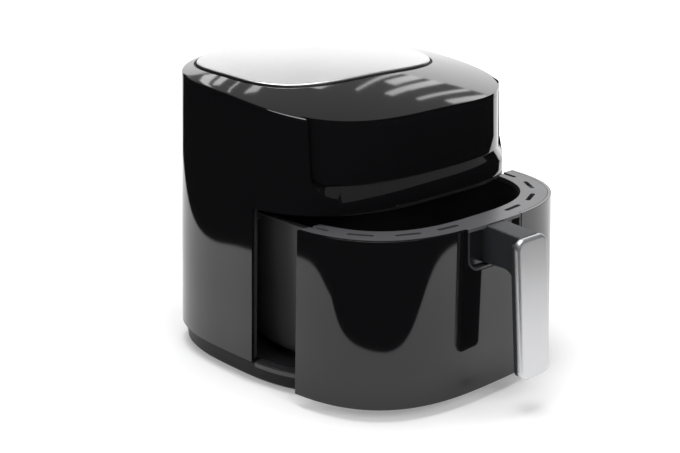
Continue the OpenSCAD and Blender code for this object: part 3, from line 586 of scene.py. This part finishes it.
# ---------- Lid ----------
# The crowned top cover in the same gloss black, clipped inside the shells. A pocket takes the
# silver disc, and at the front its edge stands back with the lens.

DISC_HALF_W = 113.5 * MM
DISC_HALF_D = 88 * MM
DISC_N = 3
DISC_RING = 2.5 * MM
disc_low, disc_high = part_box("top_disc")
disc_middle = Vector((0, (disc_low.y + disc_high.y) / 2, 0))
POCKET = disc_low.z


def disc_point(turn, inset, lift, share=1.0):
    """A point over the disc's outline, lifted from the lid's surface."""
    point = share * outline(turn, DISC_HALF_W - inset, DISC_HALF_D - inset, DISC_N) + disc_middle
    point.z = lid_height(point.x, point.y) + lift
    return point


def disc_flat(turn, inset, height):
    """A point of the disc's outline at a fixed height."""
    point = outline(turn, DISC_HALF_W - inset, DISC_HALF_D - inset, DISC_N) + disc_middle
    point.z = height
    return point


EDGE_ROLL = 1.6 * MM
lid = loft(housing_middle,
           [lambda turn, share=share: lid_point(turn, 0, LID_EDGE, share)
            for share in (0.1, 0.6, 0.985)]
           + [lambda turn: lid_point(turn, 0, LID_EDGE - 0.4 * MM)]
           + [lambda turn, roll=math.radians(angle): lid_point(
               turn, EDGE_ROLL * (1 - math.cos(roll)), EDGE_ROLL * (1 - math.sin(roll)))
              for angle in (0, 22, 45, 68, 90)]
           + [lambda turn, share=share: lid_point(turn, EDGE_ROLL, 0, share)
              for share in (0.98, 0.93, 0.8, 0.6, 0.35, 0.1)])
lens_room = carve(
    block((-PANEL_HALF, HOUSING_Y - 2 * HALF_D, ARCH),
          (PANEL_HALF, RECESS_BACK, CROWN + 40 * MM)),
    loft(housing_middle, [
        lambda turn: wall_point(turn, ARCH - 20 * MM, RECESS - LENS_T),
        lambda turn: wall_point(turn, CROWN + 60 * MM, RECESS - LENS_T)]))
lid = carve(lid, lens_room)
lid = carve(lid, loft(disc_middle, [lambda turn: disc_flat(turn, -DISC_RING, POCKET),
                                    lambda turn: disc_flat(turn, -DISC_RING, CROWN + 30 * MM)]))
ease_edges(lid, 0.8 * MM)
piece("top_cover_skin", lid, gloss_black, "housing", "gloss_black", "top_cover")


# ---------- Silver disc and its ring ----------
# A spun aluminium plate, brushed from side to side and satin anodised, pressed into a thin gloss
# black ring in the lid.

def brushed(name, shade, low_rough, high_rough, stretch, relief):
    """Metal brushed one way: long fine scratches in its tone, gloss and surface."""
    material = bpy.data.materials.new(name)
    metal = Finish(material)
    place = metal.node("ShaderNodeTexCoord", output=3)
    drawn = metal.node("ShaderNodeMapping", None, Vector=place, Scale=stretch)
    hairs = metal.node("ShaderNodeTexNoise", None, Vector=drawn, Scale=1.0, Detail=6.0)
    cloud = metal.node("ShaderNodeTexNoise", None, Vector=place, Scale=14.0, Detail=2.0)
    tone = 0.75 * hairs + 0.25 * cloud
    colour = metal.node("ShaderNodeValToRGB", {"stops": [(0.25, shade * 0.86), (0.75, shade)]}, tone)
    rough = low_rough + (high_rough - low_rough) * hairs
    normal = metal.node("ShaderNodeBump", None, Strength=relief, Distance=0.0003, Height=hairs)
    shader = metal.node("ShaderNodeBsdfPrincipled", None, Base_Color=colour, Roughness=rough,
                        Metallic=1.0, Normal=normal)
    metal.node("ShaderNodeOutputMaterial", None, shader)
    return material


satin_silver = brushed("satin_silver", 0.70, 0.30, 0.42, (30.0, 1500.0, 1500.0), 0.05)
ring_black = moulding("ring_black", (0.003, 0.003, 0.003), 0.45, 0.6, relief=0.02, gloss=0.12)

DISC_LIFT = 2 * MM
DISC_ROLL = 1.2 * MM
disc = loft(disc_middle,
            [lambda turn: disc_flat(turn, 0, POCKET),
             lambda turn: disc_point(turn, 0, DISC_LIFT - DISC_ROLL)]
            + [lambda turn, roll=math.radians(angle): disc_point(
                turn, DISC_ROLL * (1 - math.cos(roll)), DISC_LIFT - DISC_ROLL * (1 - math.sin(roll)))
               for angle in (30, 60, 90)]
            + [lambda turn, share=share: disc_point(turn, DISC_ROLL, DISC_LIFT, share)
               for share in (0.97, 0.85, 0.65, 0.4, 0.12)])
piece("top_disc_plate", disc, satin_silver, "housing", "satin_silver", "top_disc")

RING_FIT = 0.1 * MM
band = loft(disc_middle, [
    lambda turn: disc_flat(turn, RING_FIT - DISC_RING, POCKET),
    lambda turn: disc_point(turn, RING_FIT - DISC_RING, -0.6 * MM),
    lambda turn: disc_point(turn, 0.5 * MM - DISC_RING, -1.2 * MM),
    lambda turn: disc_point(turn, -0.5 * MM, -1.2 * MM),
    lambda turn: disc_point(turn, -RING_FIT, -0.6 * MM),
    lambda turn: disc_flat(turn, -RING_FIT, POCKET)], closed="loop")
piece("disc_ring_band", band, ring_black, "housing", "black_ring", "disc_ring")


# ---------- Base ----------
# A satin black pan set in under the skirt, on four rubber feet. A glossier sill is clipped over its
# lip where the drawer passes; its paler colour is a painted highlight for the light the lip catches.
# The bay's floor lies in it, and screws through the feet hold them together.

base_low, base_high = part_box("base_pan")
BASE_IN = HALF_W - base_high.x
BAY_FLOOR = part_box("bay_floor")[1].z
LIP_W = 8.5 * MM
SILL_FOOT = SKIRT - 6 * MM
PLATE_FIT = 0.6 * MM
base_black = moulding("base_black", (0.007, 0.007, 0.008), 0.40, 0.52, grain=1100.0, relief=0.12,
                      gloss=0.15)
# Paler than the pan: this colour is a painted highlight, for the light that the sill and the liner's
# return catch.
painted_highlight_black = moulding("painted_highlight_black", (0.030, 0.030, 0.032), 0.20, 0.30, grain=1100.0, relief=0.05)

pan = loft(housing_middle, [
    lambda turn: wall_point(turn, base_low.z, BASE_IN + 5 * MM),
    lambda turn: wall_point(turn, base_low.z + 0.6 * MM, BASE_IN + 3 * MM),
    lambda turn: wall_point(turn, base_low.z + 2.4 * MM, BASE_IN + 1.5 * MM),
    lambda turn: wall_point(turn, SKIRT - 3.2 * MM, BASE_IN + 0.3 * MM),
    lambda turn: wall_point(turn, SKIRT - 2.2 * MM, BASE_IN + 0.9 * MM),
    lambda turn: wall_point(turn, SKIRT - 0.6 * MM, BASE_IN + LIP_W - 0.6 * MM),
    lambda turn: wall_point(turn, SKIRT - 0.9 * MM, BASE_IN + LIP_W),
    lambda turn: wall_point(turn, BAY_FLOOR, BASE_IN + LIP_W + 0.2 * MM),
    lambda turn: wall_point(turn, BAY_FLOOR - 2 * MM, BASE_IN + LIP_W + 0.2 * MM)])
piece("base_pan_body", pan, base_black, "housing", "base_black", "base_pan")

# The sill's paler finish is a painted highlight along the lip.
sill = loft(housing_middle, [
    lambda turn: wall_point(turn, SILL_FOOT, BASE_IN - 0.2 * MM),
    lambda turn: wall_point(turn, SKIRT - 2 * MM, BASE_IN - 0.2 * MM),
    lambda turn: wall_point(turn, SKIRT - 0.9 * MM, BASE_IN + 0.5 * MM),
    lambda turn: wall_point(turn, SKIRT - 0.1 * MM, BASE_IN + LIP_W - 0.6 * MM),
    lambda turn: wall_point(turn, SKIRT - 0.4 * MM, BASE_IN + LIP_W + 0.1 * MM),
    lambda turn: wall_point(turn, SILL_FOOT, BASE_IN + LIP_W - MM)], closed="loop")
keep_side(sill, (0, SEAM_Y, 0), (0, 1, 0))
piece("base_sill_painted_highlight", sill, painted_highlight_black, "housing", "base_black")

bay_plate = loft(housing_middle, [
    lambda turn: wall_point(turn, BAY_FLOOR - 2 * MM, BASE_IN + LIP_W + PLATE_FIT),
    lambda turn: wall_point(turn, BAY_FLOOR - 0.3 * MM, BASE_IN + LIP_W + PLATE_FIT),
    lambda turn: wall_point(turn, BAY_FLOOR, BASE_IN + LIP_W + PLATE_FIT + 0.3 * MM)])
inner_black = moulding("inner_black", (0.020, 0.020, 0.022), 0.34, 0.48, grain=900.0, relief=0.08)
piece("bay_floor_plate", bay_plate, inner_black, "housing", "base_black", "bay_floor")


# ---------- Bay liner and rails ----------
# The heat-resistant wall of the drawer's bay, with a narrow return that meets the shell behind
# the seam, and two rails screwed to it that carry the basket's flange.

LINER_IN = 8 * MM
LINER_T = 2 * MM
LINER_FRONT = SEAM_Y + 4 * MM
RETURN_BACK = LINER_FRONT + 2.4 * MM
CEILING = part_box("chamber_ceiling")[0].z


def wall_band(inset, thickness, low, high):
    """A hollow band of the housing's plan between two heights."""
    return loft(housing_middle, [
        lambda turn: wall_point(turn, low, inset),
        lambda turn: wall_point(turn, high, inset),
        lambda turn: wall_point(turn, high, inset + thickness),
        lambda turn: wall_point(turn, low, inset + thickness)], closed="loop")


liner = wall_band(LINER_IN, LINER_T, BAY_FLOOR, CEILING)
keep_side(liner, (0, RETURN_BACK, 0), (0, -1, 0))
ease_edges(liner, 0.3 * MM, 2)
piece("bay_liner_wall", liner, inner_black, "housing", "inner_black", "bay_liner")

lining_edge = wall_band(WALL + SEAM_GAP, LINER_IN + LINER_T - WALL - SEAM_GAP,
                        BAY_FLOOR + 3 * MM, CEILING - 0.2 * MM)
keep_side(lining_edge, (0, LINER_FRONT, 0), (0, -1, 0))
keep_side(lining_edge, (0, RETURN_BACK, 0), (0, 1, 0))
ease_edges(lining_edge, 0.5 * MM, 2)
# Its paler finish is a painted highlight, for the bright edges of the return.
piece("bay_liner_return", lining_edge, painted_highlight_black, "housing", "inner_black")


# ---------- Drawer front ----------
# The curved gloss panel that closes the bay. It hangs a little below the skirt, and a rounded
# seat for the handle is cut down from its top edge.

basket_low, basket_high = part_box("basket")
BASKET_BACK = 4 * MM
DRAWER_Y = (basket_low.y + basket_high.y) / 2 - BASKET_BACK
drawer_middle = Vector((0, DRAWER_Y, 0))
pull = drawer_middle - housing_middle
front_low, front_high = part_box("drawer_front")
FRONT_TOP = front_high.z
FRONT_Y = DRAWER_Y - HALF_D
SEAT_HALF = 36 * MM
SEAT_LOW = 125 * MM
SEAT_R = 14 * MM


def drawer_point(turn, height, inset=0.0):
    """The housing's wall, carried out with the drawer."""
    return wall_point(turn, height, inset) + pull


def seat_tool(grow, past=0.0):
    """The handle seat's U-shaped room, open at the top, which runs through the panel."""
    width = SEAT_HALF + grow
    low = SEAT_LOW - grow
    tool = block((-width, FRONT_Y - 10 * MM - past, low),
                 (width, FRONT_Y + 30 * MM + past, FRONT_TOP + 20 * MM))
    corners = [edge for edge in tool.edges
               if all(abs(vert.co.z - low) < 1e-6 for vert in edge.verts)
               and abs(edge.verts[0].co.x - edge.verts[1].co.x) < 1e-6]
    bmesh.ops.bevel(tool, geom=corners, offset=SEAT_R + grow, offset_type="OFFSET", segments=12,
                    profile=0.5, affect="EDGES", clamp_overlap=True, material=-1)
    return tool


panel = loft(drawer_middle, [
    lambda turn: drawer_point(turn, front_low.z),
    lambda turn: drawer_point(turn, front_low.z + 50 * MM),
    lambda turn: drawer_point(turn, front_low.z + 105 * MM),
    lambda turn: drawer_point(turn, FRONT_TOP),
    lambda turn: drawer_point(turn, FRONT_TOP, WALL),
    lambda turn: drawer_point(turn, front_low.z, WALL)], closed="loop")
keep_side(panel, (0, front_high.y, 0), (0, 1, 0))
panel = carve(panel, seat_tool(0.2 * MM))
ease_edges(panel, 0.9 * MM)
piece("drawer_front_panel", panel, gloss_black, "drawer", "gloss_black", "drawer_front")


# ---------- Rim frame ----------
# A satin grey moulding that closes the gap between the basket's rim and the panel, with a row of
# steam slots at each side. A tongue on it roofs the handle's seat.

BASKET_HALF_W = 120 * MM
BASKET_HALF_D = 116 * MM
BASKET_TOP = 159 * MM
SHEET = basket_high.z - BASKET_TOP
FLANGE = 5 * MM
basket_middle = drawer_middle + Vector((0, BASKET_BACK, 0))
rim_low, rim_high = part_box("rim_frame")
SLOT_L = 24 * MM
SLOT_W = 4.6 * MM
SLOT_IN = 16 * MM
SLOTS = 4
RIM_SKIN = 1.5 * MM
TONGUE_T = 3 * MM


def basket_point(turn, height, inset=0.0):
    """A point of the basket's plan."""
    point = outline(turn, BASKET_HALF_W - inset, BASKET_HALF_D - inset, SQUARENESS) + basket_middle
    point.z = height
    return point


def slot_tool(middle, along):
    """A round-ended bar that stands upright through the rim."""
    tool = bmesh.new()
    bmesh.ops.create_cone(tool, cap_ends=True, segments=24, radius1=SLOT_W / 2, radius2=SLOT_W / 2,
                          depth=30 * MM)
    for vert in tool.verts:
        vert.co.x += math.copysign((SLOT_L - SLOT_W) / 2, vert.co.x)
    bmesh.ops.transform(tool, verts=tool.verts, matrix=(
        Matrix.Translation(middle) @ Matrix.Rotation(math.atan2(along.y, along.x), 4, "Z")))
    return tool


rim_frame = loft(drawer_middle, [
    lambda turn: drawer_point(turn, rim_low.z, WALL + SEAM_GAP),
    lambda turn: drawer_point(turn, rim_high.z, WALL + SEAM_GAP)])
rim_frame = carve(rim_frame, loft(basket_middle, [
    lambda turn: basket_point(turn, rim_low.z - 20 * MM),
    lambda turn: basket_point(turn, rim_high.z + 20 * MM)]))
keep_side(rim_frame, (0, rim_high.y, 0), (0, 1, 0))
rim_frame = carve(rim_frame, block(
    (-SEAT_HALF - 7 * MM, FRONT_Y - MM, 150 * MM),
    (SEAT_HALF + 7 * MM, FRONT_Y + WALL + 11 * MM, rim_high.z - RIM_SKIN)))
for side in (-1, 1):
    for index in range(SLOTS):
        turn = math.radians(-90 + side * (20 + 17 * index))
        before = drawer_point(turn - 0.02, BASKET_TOP, SLOT_IN)
        after = drawer_point(turn + 0.02, BASKET_TOP, SLOT_IN)
        rim_frame = carve(rim_frame, slot_tool((before + after) / 2, after - before))
tongue = loft(drawer_middle, [
    lambda turn: drawer_point(turn, rim_high.z - TONGUE_T, 0.4 * MM),
    lambda turn: drawer_point(turn, rim_high.z, 0.4 * MM),
    lambda turn: drawer_point(turn, rim_high.z, WALL + 4 * MM),
    lambda turn: drawer_point(turn, rim_high.z - TONGUE_T, WALL + 4 * MM)], closed="loop")
tongue = carve(tongue, seat_tool(-0.4 * MM), "INTERSECT")
rim_frame = carve(rim_frame, tongue, "UNION")
ease_edges(rim_frame, 0.5 * MM, 2)
rim_grey = moulding("rim_grey", (0.075, 0.075, 0.08), 0.30, 0.42, grain=1200.0, relief=0.05)
piece("rim_frame_moulding", rim_frame, rim_grey, "drawer", "rim_grey", "rim_frame")


# ---------- Basket ----------
# A drawn steel bucket with a rounded foot and a flat flange, sprayed inside and out with a dark
# non-stick coat that has a fine fleck in it.


def nonstick_coat(name, shade, low_rough, high_rough):
    """A sprayed coating with a fine pale fleck and a slight orange-peel surface."""
    material = bpy.data.materials.new(name)
    coat = Finish(material)
    place = coat.node("ShaderNodeTexCoord", output=3)
    fleck = coat.node("ShaderNodeTexVoronoi", None, Vector=place, Scale=1500.0)
    peel = coat.node("ShaderNodeTexNoise", None, Vector=place, Scale=420.0, Detail=3.0)
    cloud = coat.node("ShaderNodeTexNoise", None, Vector=place, Scale=20.0, Detail=2.0)
    dot = coat.node("ShaderNodeValToRGB", {"stops": [(0.04, shade * 2.6), (0.16, shade)]}, fleck)
    rough = low_rough + (high_rough - low_rough) * cloud
    normal = coat.node("ShaderNodeBump", None, Strength=0.10, Distance=0.0004, Height=peel)
    shader = coat.node("ShaderNodeBsdfPrincipled", None, Base_Color=dot, Roughness=rough,
                       Metallic=0.25, Normal=normal)
    coat.node("ShaderNodeOutputMaterial", None, shader)
    return material


nonstick = nonstick_coat("nonstick", 0.038, 0.28, 0.42)


def bucket_wall(foot, skin):
    """The rings of one side of the bucket's sheet, from its floor up to the flange."""
    # Rise from the floor and inset from the rim, in millimetres
    profile = ((0, 21), (0.4, 16), (1.6, 11), (4.0, 7.3), (8.0, 5.0), (14.0, 4.0))
    rings = [lambda turn, rise=rise, inset=inset: basket_point(
        turn, foot + rise * MM, inset * MM + skin) for rise, inset in profile]
    rings.append(lambda turn: basket_point(turn, BASKET_TOP - 60 * MM, 1.9 * MM + skin))
    rings.append(lambda turn: basket_point(turn, BASKET_TOP - 1.5 * MM, skin))
    return rings


basket = loft(basket_middle, bucket_wall(basket_low.z, -SHEET) + [
    lambda turn: basket_point(turn, BASKET_TOP, -SHEET - 1.2 * MM),
    lambda turn: basket_point(turn, BASKET_TOP, -SHEET - FLANGE + 0.3 * MM),
    lambda turn: basket_point(turn, BASKET_TOP + SHEET / 2, -SHEET - FLANGE),
    lambda turn: basket_point(turn, BASKET_TOP + SHEET, -SHEET - FLANGE + 0.3 * MM),
    lambda turn: basket_point(turn, BASKET_TOP + SHEET, -0.6 * MM),
    lambda turn: basket_point(turn, BASKET_TOP + SHEET - 0.6 * MM, 0)]
    + bucket_wall(basket_low.z + SHEET, 0)[::-1])
piece("basket_bucket", basket, nonstick, "drawer", "nonstick", "basket")


# ---------- Handle ----------
# A seat plate lines the cut in the panel. A painted arm comes straight out of it and turns down
# as a slim back plate, and a satin silver cover is clipped over that plate's front.

seat_low, seat_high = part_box("handle_seat")
SEAT_BACK = 5 * MM
SEAT_T = 3 * MM
seat = loft(drawer_middle, [
    lambda turn: drawer_point(turn, seat_low.z, SEAT_BACK),
    lambda turn: drawer_point(turn, seat_high.z, SEAT_BACK),
    lambda turn: drawer_point(turn, seat_high.z, SEAT_BACK + SEAT_T),
    lambda turn: drawer_point(turn, seat_low.z, SEAT_BACK + SEAT_T)], closed="loop")
seat = carve(seat, seat_tool(5.8 * MM), "INTERSECT")
ease_edges(seat, 0.4 * MM, 2)
seat_black = moulding("seat_black", (0.008, 0.008, 0.009), 0.10, 0.18, relief=0.01)
piece("handle_seat_plate", seat, seat_black, "drawer", "gloss_black", "handle_seat")

LINING_LOW = SEAT_LOW - 3 * MM
LINING_TOP = FRONT_TOP - TONGUE_T - 0.2 * MM
lining = loft(drawer_middle, [
    lambda turn: drawer_point(turn, LINING_LOW, 0.5 * MM),
    lambda turn: drawer_point(turn, LINING_TOP, 0.5 * MM),
    lambda turn: drawer_point(turn, LINING_TOP, SEAT_BACK),
    lambda turn: drawer_point(turn, LINING_LOW, SEAT_BACK)], closed="loop")
lining = carve(lining, seat_tool(0), "INTERSECT")
lining = carve(lining, seat_tool(-2.4 * MM, 2 * MM))
ease_edges(lining, 0.6 * MM, 2)
piece("handle_seat_lining", lining, moulding("lining_black", (0.03, 0.03, 0.033), 0.2, 0.3),
      "drawer", "gloss_black")

grip_low, grip_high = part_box("handle_grip")
neck_low, neck_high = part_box("handle_neck")
GRIP_W = grip_high.x - grip_low.x
NECK_TOP = neck_high.z
GRIP_TOP = NECK_TOP - 0.4 * MM
GRIP_H = GRIP_TOP - grip_low.z
GRIP_KICK = 11 * MM
GRIP_T = 12 * MM
COVER_T = 7 * MM
PLATE_T = GRIP_T - COVER_T
GRIP_BACK = grip_low.y + GRIP_T + GRIP_KICK * (1 - COVER_T / 2 / GRIP_H)
NECK_W = neck_high.x - neck_low.x
NECK_H = 32 * MM
FINGER_R = 12 * MM


def kick_out(bm):
    """Leans a bar outwards towards its foot."""
    for vert in bm.verts:
        vert.co.y -= GRIP_KICK * (GRIP_TOP - vert.co.z) / GRIP_H


def bar(width, back, front, low, high, corner, roll):
    """An upright flat bar with rounded corners, its long edges rolled over."""
    bm = block((-width / 2, front, low), (width / 2, back, high))
    corners = [edge for edge in bm.edges
               if abs(edge.verts[0].co.y - edge.verts[1].co.y) > 1e-4]
    bmesh.ops.bevel(bm, geom=corners, offset=corner, offset_type="OFFSET", segments=8,
                    profile=0.5, affect="EDGES", clamp_overlap=True, material=-1)
    rolled = [edge for edge in bm.edges
              if edge.calc_face_angle(0) > math.radians(60)]
    bmesh.ops.bevel(bm, geom=rolled, offset=roll, offset_type="OFFSET", segments=5,
                    profile=0.5, affect="EDGES", clamp_overlap=True, material=-1)
    return bm


neck_grey = moulding("neck_grey", (0.018, 0.019, 0.022), 0.34, 0.44, grain=2600.0, relief=0.06,
                     gloss=0.3)
arm = bmesh.new()
ROOT_Y = FRONT_Y + SEAT_BACK + 0.3 * MM + LEAN * (NECK_TOP - SKIRT)
PLATE_FRONT = GRIP_BACK - PLATE_T
INTO_COVER = 2 * MM
profile = [(ROOT_Y, FRONT_TOP - 0.4 * MM), (ROOT_Y, NECK_TOP - NECK_H)]
for step in range(9):
    angle = math.radians(90 * step / 8)
    profile.append((GRIP_BACK + FINGER_R * (1 - math.sin(angle)) - 1.5 * MM,
                    NECK_TOP - NECK_H - FINGER_R * (1 - math.cos(angle))))
profile += [(PLATE_FRONT, NECK_TOP - NECK_H - FINGER_R),
            (PLATE_FRONT - INTO_COVER, NECK_TOP - 4 * MM), (PLATE_FRONT - INTO_COVER, NECK_TOP)]
side = [arm.verts.new((-NECK_W / 2, y, z)) for y, z in profile]
face = arm.faces.new(side)
grown = bmesh.ops.extrude_face_region(arm, geom=[face])["geom"]
bmesh.ops.translate(arm, verts=[part for part in grown if isinstance(part, bmesh.types.BMVert)],
                    vec=(NECK_W, 0, 0))
bmesh.ops.recalc_face_normals(arm, faces=arm.faces)
long_edges = [edge for edge in arm.edges
              if abs(edge.verts[0].co.x - edge.verts[1].co.x) < 1e-6
              and max(vert.co.y for vert in edge.verts) < ROOT_Y + 1e-6
              and min(vert.co.y for vert in edge.verts) < ROOT_Y - 1e-4]
bmesh.ops.bevel(arm, geom=long_edges, offset=2.2 * MM, offset_type="OFFSET", segments=4,
                profile=0.5, affect="EDGES", clamp_overlap=True, material=-1)
piece("handle_neck_arm", arm, neck_grey, "drawer", "neck_grey", "handle_neck")

core_low, core_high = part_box("handle_core")
plate = bar(core_high.x - core_low.x, GRIP_BACK, PLATE_FRONT - INTO_COVER, core_low.z, core_high.z,
            5 * MM, 1.6 * MM)
kick_out(plate)
piece("handle_back_plate", plate, neck_grey, "drawer", "neck_grey", "handle_core")

grip_silver = moulding("grip_silver", (0.64, 0.64, 0.65), 0.34, 0.42, grain=3000.0, relief=0.03,
                       metallic=0.95, spread=0.04)
cover_plate = bar(GRIP_W, PLATE_FRONT, GRIP_BACK - GRIP_T, GRIP_TOP - GRIP_H, GRIP_TOP,
                  9 * MM, 2.6 * MM)
kick_out(cover_plate)
piece("handle_grip_cover", cover_plate, grip_silver, "drawer", "grip_silver", "handle_grip")


# ---------- Inside pieces ----------
# The heater, fans, motor, boards, rails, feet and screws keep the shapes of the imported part. Each
# gets the finish of its own stuff: zinc-plated sheet, heat-darkened tube, ceramic and so on.

def paint(material, *nodes):
    """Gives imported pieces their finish."""
    for name in nodes:
        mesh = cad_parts[name].data
        mesh.materials.clear()
        mesh.materials.append(material)


paint(inner_black, "slide_rails")
paint(nonstick_coat("tray_coat", 0.045, 0.30, 0.46), "crisper_tray")
paint(base_black, "rear_vent", "switch_body", "switch_tab")
paint(moulding("gland_rubber", (0.02, 0.02, 0.02), 0.55, 0.7, grain=700.0, relief=0.12),
      "cord_gland")
paint(moulding("foot_rubber", (0.03, 0.03, 0.03), 0.6, 0.8, grain=500.0, relief=0.2), "feet")
paint(moulding("bumper_silicone", (0.30, 0.05, 0.04), 0.45, 0.6, relief=0.1), "tray_bumpers")
paint(moulding("plunger_acetal", (0.72, 0.69, 0.60), 0.35, 0.5, relief=0.04), "switch_plunger")
paint(moulding("bushing_ceramic", (0.80, 0.78, 0.72), 0.6, 0.8, grain=600.0, relief=0.15),
      "element_bushings")
paint(moulding("blanket_wool", (0.66, 0.64, 0.57), 0.85, 0.98, grain=350.0, relief=0.8, spread=0.3),
      "heat_blanket")
paint(moulding("board_resin", (0.03, 0.17, 0.08), 0.32, 0.45, grain=420.0, relief=0.05),
      "touch_board", "power_board")
paint(moulding("part_bodies", (0.05, 0.05, 0.056), 0.35, 0.5, relief=0.08), "board_parts")
paint(moulding("display_filter", (0.05, 0.058, 0.072), 0.12, 0.2, relief=0.01), "display_module")
paint(moulding("fan_nylon", (0.045, 0.045, 0.05), 0.4, 0.55, relief=0.08), "cooling_fan")
paint(moulding("coil_copper", (0.50, 0.22, 0.07), 0.28, 0.42, grain=500.0, relief=0.3,
               metallic=0.8), "motor_coil")
paint(moulding("bearing_bronze", (0.55, 0.36, 0.15), 0.35, 0.5, relief=0.1, metallic=0.9),
      "motor_bearings", "fan_nut")
paint(moulding("heater_tube", (0.16, 0.14, 0.13), 0.38, 0.6, grain=260.0, relief=0.1,
               metallic=0.8, spread=0.35), "heating_element")
paint(brushed("zinc_sheet", 0.56, 0.34, 0.52, (60.0, 700.0, 60.0), 0.05), "chamber_ceiling",
      "heater_dome", "motor_bracket", "handle_plate", "lower_bridge", "upper_bridge")
paint(brushed("laminated_steel", 0.3, 0.4, 0.55, (40.0, 40.0, 2000.0), 0.4), "stator_core",
      "rotor_core")
paint(brushed("bright_steel", 0.76, 0.16, 0.28, (90.0, 900.0, 900.0), 0.03), "element_guard",
      "base_screws", "motor_screws", "handle_screws", "switch_spring", "motor_shaft",
      "temperature_probe", "thermal_fuse")
paint(brushed("fan_sheet", 0.68, 0.28, 0.42, (700.0, 50.0, 700.0), 0.05), "hot_fan")
